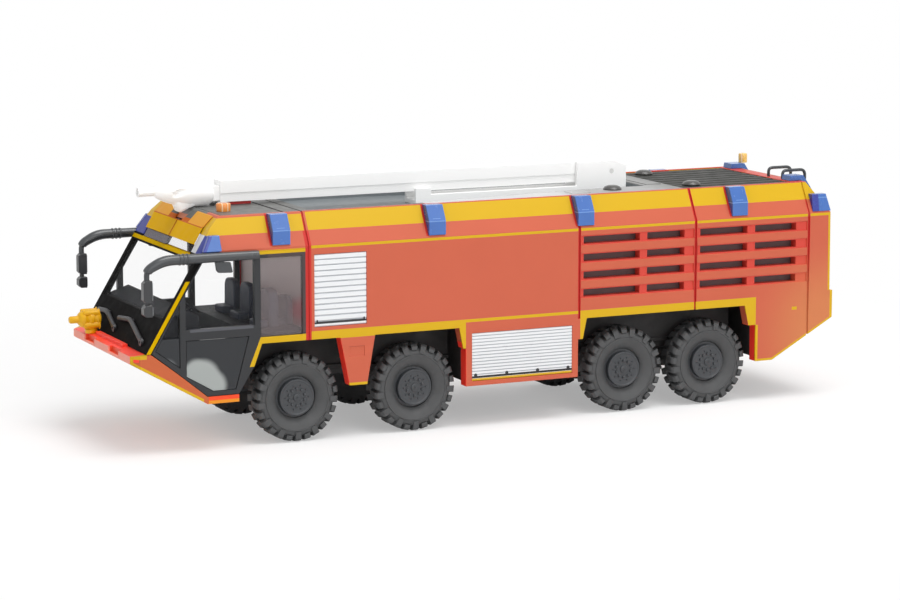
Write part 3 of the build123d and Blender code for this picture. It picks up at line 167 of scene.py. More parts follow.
class Finish:
    """A moulded finish: a shader with grain, and zones painted by their place on the model."""

    def __init__(self, name, colour, roughness=0.4, grain=0.02, grain_size=0.35, mottle=0.04, coat=0.0, gloss=0.5):
        self.material = bpy.data.materials.new(name)
        self.material.use_nodes = True
        self.tree = self.material.node_tree
        self.shader = self.tree.nodes["Principled BSDF"]
        fill(self.shader, {"Coat Weight": coat, "Coat Roughness": 0.15, "Specular IOR Level": gloss})
        coordinates = shader_node(self.tree, "TexCoord").outputs["Object"]
        self.place = self.vector("MULTIPLY_ADD", coordinates, (1000, 1000, 1000), (MIDDLE_X, 0, 0))
        self.sides = self.vector("ABSOLUTE", self.place)
        colour = tone(colour)
        light = tuple(min(1, c * (1 + mottle)) for c in colour)
        dark = tuple(c * (1 - mottle) for c in colour)
        self.colour = self.mix(self.noise(0.12, 3), dark, light)
        self.roughness = self.ramp(self.noise(0.6, 4), (0.3, 0.7), (roughness * 0.85, roughness * 1.15))
        self.bump = shader_node(self.tree, "Bump")
        fill(self.bump, {"Strength": 0.25, "Distance": grain * MM})
        self.height = self.noise(1 / grain_size, 2)
        self.put(self.bump.outputs["Normal"], self.shader.inputs["Normal"])

    def put(self, value, socket):
        if isinstance(value, bpy.types.NodeSocket):
            self.tree.links.new(value, socket)
        else:
            socket.default_value = (*value, 1) if socket.type == "RGBA" else value

    def work(self, kind, operation, values):
        node = shader_node(self.tree, kind, operation=operation)
        for value, socket in zip(values, node.inputs):
            self.put(value, socket)
        return node.outputs

    def vector(self, operation, *values):
        outputs = self.work("VectorMath", operation, values)
        return outputs["Value" if operation in ("DOT_PRODUCT", "DISTANCE") else "Vector"]

    def number(self, operation, *values):
        return self.work("Math", operation, values)[0]

    def noise(self, scale, detail):
        node = shader_node(self.tree, "TexNoise")
        fill(node, {"Scale": scale, "Detail": detail})
        self.put(self.place, node.inputs["Vector"])
        return node.outputs["Fac"]

    def ramp(self, value, source, target, kind="LINEAR"):
        """Takes a value from one span to another, and holds it at the ends."""
        node = shader_node(self.tree, "MapRange", interpolation_type=kind)
        fill(node, dict(zip(("From Min", "From Max", "To Min", "To Max"), source + target)))
        self.put(value, node.inputs["Value"])
        return node.outputs["Result"]

    def mix(self, factor, first, second):
        node = shader_node(self.tree, "Mix", data_type="RGBA")
        for number, value in ((0, factor), (6, first), (7, second)):
            self.put(value, node.inputs[number])
        return node.outputs[2]

    def below(self, source, direction, limit):
        """Mask of the points whose position times a direction stays below a limit."""
        return self.number("LESS_THAN", self.vector("DOT_PRODUCT", source, direction), limit)

    def inside(self, *limits):
        """Mask within several planes. One that leans sideways counts for both sides alike."""
        mask = None
        for direction, limit in limits:
            test = self.below(self.sides if direction[1] else self.place, direction, limit)
            mask = test if mask is None else self.both(mask, test)
        return mask

    def zone(self, x0=None, x1=None, z0=None, z1=None, y0=None, y1=None):
        """Mask of a block of space, both sides alike, open where no limit is given."""
        limits = (
            ((-1, 0, 0), x0), ((1, 0, 0), x1), ((0, 0, -1), z0), ((0, 0, 1), z1), ((0, -1, 0), y0), ((0, 1, 0), y1),
        )
        return self.inside(*[(side, sum(side) * limit) for side, limit in limits if limit is not None])

    def one_side(self, sign, limit):
        """Mask of the points whose y times a sign stays below a limit, left and right told apart."""
        return self.below(self.place, (0, sign, 0), limit)

    def outline(self, points, outside=None):
        """Mask of a convex outline in x and z, given the way round that keeps its inside left."""
        limits = []
        for (x0, z0), (x1, z1) in zip(points, points[1:] + points[:1]):
            length = math.hypot(x1 - x0, z1 - z0)
            normal = ((z1 - z0) / length, 0.0, (x0 - x1) / length)
            limits.append((normal, normal[0] * x0 + normal[2] * z0))
        if outside is not None:
            limits.append(((0, -1, 0), -outside))
        return self.inside(*limits)

    def near(self, x, z, inner, outer):
        """Soft mask that is 1 about a point of the side view and fades to 0 further out."""
        flat = self.vector("MULTIPLY", self.place, (1, 0, 1))
        return self.ramp(self.vector("DISTANCE", flat, (x, 0, z)), (inner, outer), (1, 0), "SMOOTHSTEP")

    def both(self, first, second):
        return self.number("MULTIPLY", first, second)

    def stripes(self, start, pitch, share):
        """Mask of level lines that repeat upwards."""
        height = self.vector("DOT_PRODUCT", self.place, (0, 0, 1))
        turns = self.number("DIVIDE", self.number("SUBTRACT", height, start), pitch)
        return self.number("LESS_THAN", self.number("FRACT", turns), share)

    def paint(self, colour, *masks, **limits):
        """Paints the masks, or else the one zone that the limits give."""
        for mask in masks or [self.zone(**limits)]:
            self.colour = self.mix(mask, self.colour, tone(colour))

    def ripple(self, pitch, depth):
        """Adds a row of rounded ribs along the model to the height."""
        turn = self.number("MULTIPLY", self.vector("DOT_PRODUCT", self.place, (1, 0, 0)), 2 * math.pi / pitch)
        self.height = self.number("ADD", self.height, self.number("MULTIPLY", self.number("SINE", turn), depth))

    def done(self):
        self.put(self.height, self.bump.inputs["Height"])
        self.put(self.colour, self.shader.inputs["Base Color"])
        self.put(self.roughness, self.shader.inputs["Roughness"])
        return self.material


# Meshes

def circle(radius, count):
    """Corners of a many-sided circle."""
    angles = [2 * math.pi * k / count for k in range(count)]
    return [(radius * math.cos(a), radius * math.sin(a)) for a in angles]


def add_skin(bm, rings, loop=False, index=0):
    """Skin over rings of points, closed at both ends, or else joined from the last ring to the first."""
    rings = [[bm.verts.new(point) for point in ring] for ring in rings]
    if loop:
        rings.append(rings[0])
    faces = []
    for low, high in zip(rings, rings[1:]):
        count = len(low)
        for a in range(count):
            b = (a + 1) % count
            faces.append(bm.faces.new((low[a], low[b], high[b], high[a])))
    if not loop:
        faces += [bm.faces.new(rings[0][::-1]), bm.faces.new(rings[-1])]
    for face in faces:
        face.material_index = index


def add_block(bm, x0, x1, y0, y1, z0, z1):
    corners = ((x0, y0), (x1, y0), (x1, y1), (x0, y1))
    add_skin(bm, [[(x, y, z) for x, y in corners] for z in (z0, z1)])


def add_prism(bm, outline, y0, y1):
    """Outline in x and z, drawn out along y."""
    add_skin(bm, [[(x, y, z) for x, z in outline] for y in (y0, y1)])


def add_slab(bm, outline, x0, x1, index=0):
    """Outline in y and z, drawn out along x."""
    add_skin(bm, [[(x, y, z) for y, z in outline] for x in (x0, x1)], index=index)


def add_lathe(bm, profile, segments, axis="Y", centre=(0, 0, 0), loop=False):
    """Turns pairs of radius and height about an axis."""
    rings = []
    for radius, height in profile:
        ring = []
        for u, v in circle(radius, segments):
            place = {"Y": (u, height, v), "Z": (u, v, height), "X": (height, u, v)}[axis]
            ring.append([a + b for a, b in zip(centre, place)])
        rings.append(ring)
    add_skin(bm, rings, loop)


def smooth_path(points, radius, steps=6):
    """A run of points with each inner corner turned into an arc of about that radius."""
    points = [Vector(p) for p in points]
    path = [points[0]]
    for before, corner, after in zip(points, points[1:], points[2:]):
        inward = (before - corner).normalized()
        outward = (after - corner).normalized()
        reach = min(radius, (before - corner).length * 0.49, (after - corner).length * 0.49)
        start, end = corner + inward * reach, corner + outward * reach
        for step in range(steps + 1):
            t = step / steps
            path.append(start * (1 - t) ** 2 + corner * 2 * t * (1 - t) + end * t ** 2)
    path.append(points[-1])
    return path


def add_tube(bm, path, radius, sides=16):
    """Round tube along points, its section turned from run to run."""
    path = [Vector(p) for p in path]
    radii = radius if isinstance(radius, list) else [radius] * len(path)
    side = None
    rings = []
    for number, point in enumerate(path):
        ahead = path[min(number + 1, len(path) - 1)] - path[max(number - 1, 0)]
        ahead.normalize()
        if side is None:
            side = ahead.orthogonal().normalized()
        side = (side - ahead * side.dot(ahead)).normalized()
        other = ahead.cross(side)
        rings.append([point + (side * u + other * v) * radii[number] for u, v in circle(1, sides)])
    add_skin(bm, rings)


def add_object(name, data):
    """Puts data into the scene as an object."""
    item = bpy.data.objects.new(name, data)
    bpy.context.scene.collection.objects.link(item)
    return item


def mesh_object(name, bm):
    """Turns a mesh in edit form into an object of the scene."""
    mesh = bpy.data.meshes.new(name)
    bm.to_mesh(mesh)
    bm.free()
    return add_object(name, mesh)


def make_piece(name, bm, *materials, body="truck", slot="trim_grey", replaces=(), smooth=None, round_off=0.0):
    """Turns a mesh in millimetres and stations into a finished piece that rides on a body."""
    bmesh.ops.remove_doubles(bm, verts=bm.verts, dist=1e-5)
    bmesh.ops.recalc_face_normals(bm, faces=bm.faces)
    bm.transform(Matrix.Diagonal((MM, MM, MM, 1)) @ Matrix.Translation((-MIDDLE_X, 0, 0)))
    piece = mesh_object(name, bm)
    for material in materials:
        piece.data.materials.append(material)
    if smooth is not None:
        piece.data.shade_smooth()
        piece.data.set_sharp_from_angle(angle=math.radians(smooth))
    if round_off:
        edge_modifier(piece, round_off)
    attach(piece, body)
    if replaces:
        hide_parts(*replaces)


def edge_modifier(piece, width):
    bevel = piece.modifiers.new("Rounded edges", "BEVEL")
    bevel.width = width
    bevel.segments = 2
    bevel.limit_method = "ANGLE"
    bevel.angle_limit = math.radians(30)
    bevel.use_clamp_overlap = True


def dress(nodes, material, width=0.0, flatten=True):
    """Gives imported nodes, named with spaces between, their finish, and rounds their edges where a width is given."""
    for node in nodes.split():
        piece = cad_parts[node]
        if not piece.data.materials:
            piece.data.materials.append(material)
        for holder in piece.material_slots:
            holder.material = material
        if width:
            weld = piece.modifiers.new("Weld", "WELD")
            weld.merge_threshold = 2e-6
            if flatten:
                flats = piece.modifiers.new("Flat faces", "DECIMATE")
                flats.decimate_type = "DISSOLVE"
                flats.angle_limit = math.radians(0.5)
            edge_modifier(piece, width)


def array_tree(name, material, round_axis):
    """Geometry Nodes tree that repeats its mesh round the y axis, or else along a straight step."""
    tree = bpy.data.node_groups.new(name, "GeometryNodeTree")
    new, link, socket = tree.nodes.new, tree.links.new, tree.interface.new_socket
    socket("Geometry", in_out="INPUT", socket_type="NodeSocketGeometry")
    count = socket("Count", in_out="INPUT", socket_type="NodeSocketInt")
    kind = ("Phase", "NodeSocketFloat") if round_axis else ("Step", "NodeSocketVector")
    shift = socket(kind[0], in_out="INPUT", socket_type=kind[1])
    socket("Geometry", in_out="OUTPUT", socket_type="NodeSocketGeometry")
    start, end = new("NodeGroupInput"), new("NodeGroupOutput")
    place = new("GeometryNodeInstanceOnPoints")
    if round_axis:
        points = new("GeometryNodePoints")
        share = shader_node(tree, "Math", operation="DIVIDE")
        turn = shader_node(tree, "Math", operation="MULTIPLY_ADD")
        turn.inputs[1].default_value = 2 * math.pi
        angles = new("ShaderNodeCombineXYZ")
        link(new("GeometryNodeInputIndex").outputs[0], share.inputs[0])
        link(start.outputs["Count"], share.inputs[1])
        link(share.outputs[0], turn.inputs[0])
        link(start.outputs["Phase"], turn.inputs[2])
        link(turn.outputs[0], angles.inputs["Y"])
        link(angles.outputs[0], place.inputs["Rotation"])
    else:
        points = new("GeometryNodeMeshLine")
        points.mode = "OFFSET"
        link(start.outputs["Step"], points.inputs["Offset"])
    real = new("GeometryNodeRealizeInstances")
    paint = new("GeometryNodeSetMaterial")
    paint.inputs["Material"].default_value = material
    link(start.outputs["Count"], points.inputs["Count"])
    link(points.outputs[0], place.inputs["Points"])
    link(start.outputs["Geometry"], place.inputs["Instance"])
    link(place.outputs[0], real.inputs[0])
    link(real.outputs[0], paint.inputs["Geometry"])
    link(paint.outputs[0], end.inputs[0])
    return tree, count.identifier, shift.identifier


def grown(bm, tree, values):
    """Runs a Geometry Nodes tree on a mesh and returns the result as a new mesh in edit form."""
    seed = mesh_object("seed", bm)
    modifier = seed.modifiers.new("Array", "NODES")
    modifier.node_group = tree
    for identifier, value in values.items():
        modifier[identifier] = value
    seed.update_tag()
    graph = bpy.context.evaluated_depsgraph_get()
    graph.update()
    result = bpy.data.meshes.new_from_object(seed.evaluated_get(graph), depsgraph=graph)
    if len(result.polygons) <= len(seed.data.polygons):
        raise RuntimeError("an array came out empty")
    out = bmesh.new()
    out.from_mesh(result)
    used = (seed.data, result)
    bpy.data.objects.remove(seed)
    for mesh in used:
        bpy.data.meshes.remove(mesh)
    for face in out.faces:
        face.material_index = 0
    return out


def join_mesh(bm, other, matrix=Matrix()):
    """Adds a copy of another mesh, moved by a matrix."""
    mesh = bpy.data.meshes.new("join")
    other.to_mesh(mesh)
    mesh.transform(matrix)
    bm.from_mesh(mesh)
    bpy.data.meshes.remove(mesh)


# Finishes of this model

def screen_x(z):
    """Station of the raked front plane at a height."""
    return SCREEN_FOOT[0] + (z - SCREEN_FOOT[1]) * RAKE


def screen_line(offset, z0, z1, wide):
    """Outline of a strip that runs up along the raked front plane."""
    low, high = screen_x(z0) + offset, screen_x(z1) + offset
    return [(low, z0), (low + wide, z0), (high + wide, z1), (high, z1)]


def body_finish():
    finish = Finish("Body plastic", looks().body, gloss=0.3)
    under_shoulder = ((0, 0.878, 0.479), 32.05)
    # Painted shade: faces set back from the skin (seam walls, recess sides, rims) get a fuller, deeper red
    finish.paint(
        (208, 68, 54),
        finish.inside(((0, 1, 0), 17.17), under_shoulder, ((1, 0, 0), 105.0), ((-1, 0, 0), -1.0), ((0, 0, -1), -18.6)),
    )
    # Painted shade in deeper red: the front wall in the cab joint, strips before the side lamps and the panel seams
    finish.paint(
        looks().shade_red,
        finish.zone(x1=2.25, z1=37.9),
        *[finish.zone(x - 0.36, x, z0=35.7) for x in LAMPS],
        *[finish.zone(x - 0.3, x + 0.3, z0=18.5) for x in SEAMS[:2]],
        finish.zone(SEAMS[2] - 0.3, SEAMS[2] + 0.3, 15, 34.8),
    )
    # Painted light: the narrow return faces of the wedge and of the bay legs get a brightened red to lift them out of
    # their shade
    finish.paint(
        (250, 58, 44),
        *[
            finish.outline([(x0 - 0.06, 18.4), (x1 - 0.06, z), (x1 + 0.06, z), (x0 + 0.06, 18.4)])
            for x0, x1, z in ((7.7, 9.47, 9.6), (30.9, 31.9, 14.7), (91.0, 91.7, 14.7))
        ],
        *[finish.zone(x, x + 0.16, 7.6, 14.5) for x in (32.3, 93.1)],
    )
    # Painted light: the body's front wall behind the cab is painted pale, as the light seen through the cab's windows
    finish.paint((222, 206, 204), x1=2.9, z0=19.5, z1=34.9, y1=SKIN_Y)
    # Painted light: a soft patch of lighter, more orange red about the tail
    finish.paint((202, 120, 74), finish.both(finish.zone(x0=93.7, z1=34.9), finish.near(110, 12, 5, 19)))
    finish.paint(
        looks().band,
        *[finish.zone(*span, *BAND_Z) for span in BAND_SPANS],
        *[finish.zone(*span, *LINE_Z) for span in LINE_SPANS],
        *[finish.zone(*box, SKIN_Y) for box in SIDE_BOXES],
        *[finish.outline(shape, SKIN_Y) for shape in SIDE_SHAPES],
    )
    return finish.done()


def cab_roof_finish():
    finish = Finish("Cab roof plastic", looks().body, gloss=0.3)
    # Painted shade in deeper red: a strip before the lamp, the rear face at the joint and the lower front face
    finish.paint(
        looks().shade_red,
        finish.zone(-5.5, -5.1, z0=35.7), finish.zone(x0=1.1, z1=37.9), finish.zone(x1=-14.9, z1=38.0),
    )
    corner = finish.zone(x1=-14.95, z1=38.1, y0=12.5)
    blue = (40, 52, 138)
    finish.paint(blue, corner)
    # Painted light: between the plates and the lamp on the near side the corner is painted pale, as the light seen
    # through the clear corner
    finish.paint((216, 216, 220), finish.both(corner, finish.one_side(-1, 14.9)))
    finish.paint(blue, finish.both(corner, finish.one_side(-1, 0)))
    finish.paint((200, 100, 34), x1=-13.6, z0=38.9, y1=9.0)
    finish.paint((98, 100, 98), x1=-13.3, z0=40.0, y1=9.0)
    finish.paint(
        looks().band,
        finish.zone(x1=-5.46, z0=BAND_Z[0], z1=40.75, y0=12.6),
        finish.zone(x0=-1.7, z0=BAND_Z[0], z1=40.75, y0=12.6),
        finish.zone(-7.6, 1.1, 34.8, 35.05),
    )
    return finish.done()


def chin_finish():
    finish = Finish("Chin plastic", (192, 94, 52), gloss=0.3)
    lip_y = 15.8
    # Painted light: the chin's top is painted a brightened red against the shade it lies in
    finish.paint((252, 72, 54), x1=-28.0, z0=16.8, y1=CAB_SKIN_Y)
    finish.paint((232, 84, 52), x1=-30.3, z1=17.6, y1=lip_y)
    finish.paint((244, 150, 130), x1=-30.9, z1=17.75, y1=lip_y)
    finish.paint(
        looks().band,
        finish.outline([(-31.3, 16.35), (-18.2, 8.8), (-18.2, 9.45), (-31.3, 17.0)], lip_y + 0.05),
        finish.zone(-31.3, -30.75, 16.2, 17.9, lip_y + 0.05),
        finish.zone(-31.3, -28.6, 17.3, 18.2, 16.2),
    )
    step = (-17.3, -11.5)
    finish.paint((228, 140, 26), finish.zone(*step, 8.4, 9.1))
    finish.paint((238, 74, 34), finish.zone(*step, 9.1, 10.2, SKIN_Y))
    return finish.done()


def screen_frame_finish():
    finish = Finish("Screen frame plastic", (23, 22, 22), roughness=0.6, gloss=0.02, mottle=0.08)
    finish.paint(
        looks().band,
        finish.outline(screen_line(0.02, 17.9, 30.4, 0.78), CAB_SKIN_Y),
        finish.outline(screen_line(-0.5, 33.95, 34.6, 1.4)),
    )
    return finish.done()


def side_frame_finish():
    finish = Finish("Side frame plastic", (50, 51, 53), gloss=0.25, mottle=0.08)
    frame_y = 16.4
    finish.paint((72, 62, 62), finish.zone(-6.0, 1.6, 20.0, 34.5, frame_y))
    finish.paint((84, 85, 90), finish.zone(-20.6, -8.8, 21.4, 22.0, frame_y))
    # Painted shade: deeper red on the frame's rear edge at the joint
    finish.paint(looks().shade_red, finish.zone(1.12, 1.6, 18.0, 35.0, frame_y))
    finish.paint(
        looks().band,
        finish.outline([(-9.6, 14.5), (-8.6, 14.5), (-7.1, 18.4), (-7.45, 19.7)], CAB_SKIN_Y),
        finish.zone(-7.46, 1.12, 18.4, 19.7, CAB_SKIN_Y),
        finish.zone(-7.6, 1.12, 34.35, 35.0, CAB_SKIN_Y),
    )
    return finish.done()


def glass_finish():
    """Thin clear plastic, smoked in the rear pane; low in the door it is painted dark and nearly opaque as the shade
    behind it.
    """
    finish = Finish("Window plastic", (170, 172, 174), roughness=0.05, grain=0.0005, mottle=0.05, gloss=0.3)
    pane_y = 16.0
    smoked = finish.both(finish.zone(-8.0, 1.6, 19.0, 35.0, pane_y), finish.one_side(1, 0))
    low = finish.zone(-30.0, -8.1, 9.0, 20.5, pane_y)
    finish.paint((158, 146, 147), smoked)
    # Painted light: a soft pink patch on the rear pane, as the red light seen in the glass
    finish.paint((176, 110, 116), finish.both(smoked, finish.near(1.0, 24.0, 1.0, 3.4)))
    # Painted shade: the low part of the door pane is a dark, nearly opaque sheet
    finish.paint((46, 48, 51), low)
    # Painted reflections: pale soft patches on the dark low part of the door pane
    for x, z, inner in ((-20.6, 12.6, 2.2), (-18.4, 13.3, 2.4), (-16.9, 11.6, 2.2), (-19.6, 14.6, 1.2)):
        finish.paint((160, 165, 163), finish.both(low, finish.near(x, z, inner, inner + 1.3)))
    finish.paint((128, 132, 134), finish.both(low, finish.near(-24.9, 15.2, 0.9, 2.2)))
    alpha = finish.number("ADD", finish.number("MULTIPLY", smoked, 0.2), 0.02)
    alpha = finish.number("ADD", alpha, finish.number("MULTIPLY", low, 0.96))
    finish.put(alpha, finish.shader.inputs["Alpha"])
    return finish.done()


def screen_glass_finish():
    finish = Finish("Screen plastic", (190, 192, 192), roughness=0.05, grain=0.0005, gloss=0.2)
    fill(finish.shader, {"Alpha": 0.02})
    return finish.done()


def upper_glass_finish():
    """Strip above the windscreen, painted dark on the right as the shade seen through it, and clear on the left."""
    finish = Finish("Upper glass plastic", (74, 62, 78), roughness=0.08, grain=0.004, gloss=0.3)
    # Painted shade: the right half is made dark and nearly opaque
    shaded_half = finish.number("MULTIPLY", finish.one_side(-1, -0.5), 0.8)
    finish.put(finish.number("ADD", shaded_half, 0.1), finish.shader.inputs["Alpha"])
    return finish.done()


def lamp_finish():
    finish = Finish("Lamp plastic", looks().lamp, roughness=0.25, coat=0.4, mottle=0.1)
    fill(finish.shader, {"Subsurface Weight": 0.12, "Subsurface Radius": (0.0004, 0.0006, 0.0012)})
    finish.ripple(0.42, 0.25)
    # Painted shade: the lamps' front end faces are a darker blue
    finish.paint((38, 78, 142), *[finish.zone(x - 0.05, x + 0.12) for x in LAMPS])
    # Painted highlights: pale blue lines along the lamps' creases
    finish.paint(
        (104, 146, 206),
        finish.zone(x0=-5.0, z0=38.22, z1=38.36),
        *[finish.zone(x + 0.9, x + 2.4, 38.72, 38.8) for x in LAMPS],
    )
    # Painted shade: the front faces of the front corner lamps and the lower part of the rear ones are a darker blue
    finish.paint((34, 54, 146), finish.inside(((1, 0, 0), -14.0), ((1, 0, -RAKE), -38.95)))
    finish.paint((34, 50, 146), finish.zone(104.9, 106.9, z1=38.95))
    return finish.done()


def deck_finish():
    finish = Finish("Deck plastic", looks().deck, roughness=0.45, grain=0.04, grain_size=0.5)
    top_z = 40.9
    behind = finish.zone(x0=26.0, z0=top_z)
    # Painted reflection of the white boom: the deck behind station 26 is lightened, most about station 38
    finish.paint((164, 164, 163), finish.both(behind, finish.near(50, 41, 20, 34)))
    finish.paint((208, 208, 208), finish.both(behind, finish.near(38, 41, 14, 24)))
    finish.paint((124, 130, 133), z1=top_z)
    return finish.done()


def cab_deck_finish():
    finish = Finish("Cab deck plastic", looks().deck, roughness=0.45, grain=0.04, grain_size=0.5)
    finish.paint(
        (40, 38, 38),
        finish.zone(z1=41.08), finish.zone(-10.1, -8.6, z0=41.2, y1=1.2), finish.zone(-2.05, -1.4, z0=40.6),
    )
    finish.paint((212, 36, 34), finish.zone(-6.9, -2.5, z0=41.2, y1=0.6))
    return finish.done()


def shutter_finish(name, foot, pitch, bar, yellow):
    """White slats with grey lines painted as the shade between them, a dark bar, and a striped or white foot."""
    finish = Finish(name, (227, 229, 231), roughness=0.32, coat=0.2, mottle=0.02)
    # Painted shade: grey lines between the slats
    finish.paint((188, 191, 196), finish.stripes(foot - 0.12 * pitch, pitch, 0.3))
    finish.paint((158, 162, 168), finish.stripes(foot - 0.04 * pitch, pitch, 0.12))
    if yellow:
        finish.paint(looks().band, z1=foot + yellow)
    finish.paint((36, 36, 38), z0=foot + bar[0], z1=foot + bar[1])
    return finish.done()


def plates_finish():
    finish = Finish("Front plate plastic", (222, 170, 10), roughness=0.55, gloss=0.05, mottle=0.05)
    upper_z, gap_y = 39.05, 5.2
    finish.paint((222, 158, 62), z0=upper_z)
    finish.paint((98, 100, 98), z0=upper_z, y1=gap_y)
    # Painted shadow of the boom: darker orange in the notch between the plates
    finish.paint((190, 94, 30), z0=upper_z, z1=39.7, y1=gap_y)
    finish.paint((196, 104, 44), z0=38.93, z1=39.1)
    finish.paint((200, 122, 26), y1=0.3)
    return finish.done()


def plain_finish(name, colour, **values):
    return Finish(name, colour, **values).done()


# Operators

class TRUCK_OT_body(bpy.types.Operator):
    """Paint the superstructure, chassis and tail, and round their edges"""
    bl_idname = "truck.body"
    bl_label = "Body and Chassis"

    def execute(self, context):
        edge, fine = sizes().edge, sizes().fine_edge
        dress("body_shell", body_finish(), edge, flatten=False)
        dress("cab_roof", cab_roof_finish(), edge)
        dress("chin", chin_finish(), edge)
        dark = plain_finish("Chassis plastic", (38, 36, 36), roughness=0.6, grain=0.04, mottle=0.12)
        dress("chassis", dark, edge)
        dress("grille_backings", plain_finish("Grille backing", (96, 78, 78), roughness=0.6, grain=0.06))
        rail = plain_finish("Rail plastic", looks().trim, roughness=0.35, coat=0.2)
        dress("rear_ladder", rail, fine)
        dress("tail_lamps", plain_finish("Tail lamp plastic", (170, 26, 22), roughness=0.2, coat=0.5), fine)
        return {"FINISHED"}


class TRUCK_OT_seam(bpy.types.Operator):
    """Fill the joint between the cab and the superstructure with a piece in the painted shade red, grey on top"""
    bl_idname = "truck.seam"
    bl_label = "Cab Joint"

    def execute(self, context):
        # The joint's sides take the red painted as the shade in seams and joints
        red = plain_finish("Joint plastic", looks().shade_red, gloss=0.3)
        dark = plain_finish("Joint top", looks().deck, roughness=0.6, gloss=0.2)
        bm = bmesh.new()
        gap = (1.49, 1.86)
        for side in (1, -1):
            outline = [(17.05, 18.45), (17.05, 35.3), (13.95, 40.95), (13.3, 40.95), (16.5, 35.1), (16.5, 18.45)]
            add_slab(bm, [(side * y, z) for y, z in outline], *gap)
        add_slab(bm, [(-13.6, 40.5), (13.6, 40.5), (13.6, 41.0), (-13.6, 41.0)], *gap, index=1)
        make_piece("cab_joint", bm, red, dark, slot="body_red")
        return {"FINISHED"}


class TRUCK_OT_roof(bpy.types.Operator):
    """Finish the roof decks, louvre, vents and handrails"""
    bl_idname = "truck.roof"
    bl_label = "Roof"

    def execute(self, context):
        fine = sizes().fine_edge
        dress("roof_deck", deck_finish(), fine)
        dress("cab_deck", cab_deck_finish(), fine)
        louvre = Finish("Louvre plastic", (52, 52, 49), roughness=0.6, grain=0.05, gloss=0.3)
        louvre.ripple(0.5, 0.15)
        dress("roof_louvre", louvre.done(), fine)
        vent = plain_finish("Vent plastic", (66, 64, 62), roughness=0.35, coat=0.2)
        bm = bmesh.new()
        dome = [(1.72, 41.16), (1.75, 41.3), (1.66, 41.45), (1.4, 41.72), (0.9, 41.93)]
        for side in (1, -1):
            for x, y in ((66.2, 9.7), (83.3, 9.4)):
                add_lathe(bm, dome, 48, axis="Z", centre=(x, side * y, 0))
        make_piece("vent_domes", bm, vent, replaces=("roof_domes",), smooth=40)
        rail = plain_finish("Handrail plastic", looks().trim, roughness=0.35, coat=0.2)
        bm = bmesh.new()
        for y in (-9.2, -4.0):
            corners = [(103.5, y, 41.1), (103.5, y, 42.8), (108.5, y, 42.8), (108.5, y, 37.46)]
            add_tube(bm, smooth_path(corners, 1.1, 8), 0.3, sides=12)
        make_piece("handrail_arches", bm, rail, replaces=("handrails",), smooth=50)
        return {"FINISHED"}


class TRUCK_OT_shutters(bpy.types.Operator):
    """Finish the roller shutters and add their bars and latches"""
    bl_idname = "truck.shutters"
    bl_label = "Roller Shutters"

    def execute(self, context):
        dress("upper_shutters", shutter_finish("Upper shutter plastic", 20.65, 13.05 / 13, (0.55, 0.9), 0))
        dress("lower_shutters", shutter_finish("Lower shutter plastic", 8.45, 8.9 / 15, (0.55, 0.95), 0.5))
        black = plain_finish("Latch plastic", (30, 30, 32))
        bm = bmesh.new()
        for side in (1, -1):
            y0, y1 = sorted((side * 17.1, side * 17.22))
            add_block(bm, 3.2, 12.45, y0, y1, 21.35, 21.62)
            for x in (3.2, 12.25):
                add_block(bm, x, x + 0.22, y0, y1, 21.35, 21.95)
        seed = bmesh.new()
        add_lathe(seed, [(0.32, -0.14), (0.32, 0.0), (0.24, 0.04)], 20)
        tree, count, step = array_tree("Latch row", black, round_axis=False)
        row = grown(seed, tree, {count: 4, step: (6.3, 0.0, 0.0)})
        for side in (1, -1):
            turn = Matrix.Diagonal((1, side, 1, 1))
            join_mesh(bm, row, Matrix.Translation((34.4, side * 17.2, 9.55)) @ turn)
        row.free()
        make_piece("shutter_latches", bm, black, smooth=40)
        return {"FINISHED"}


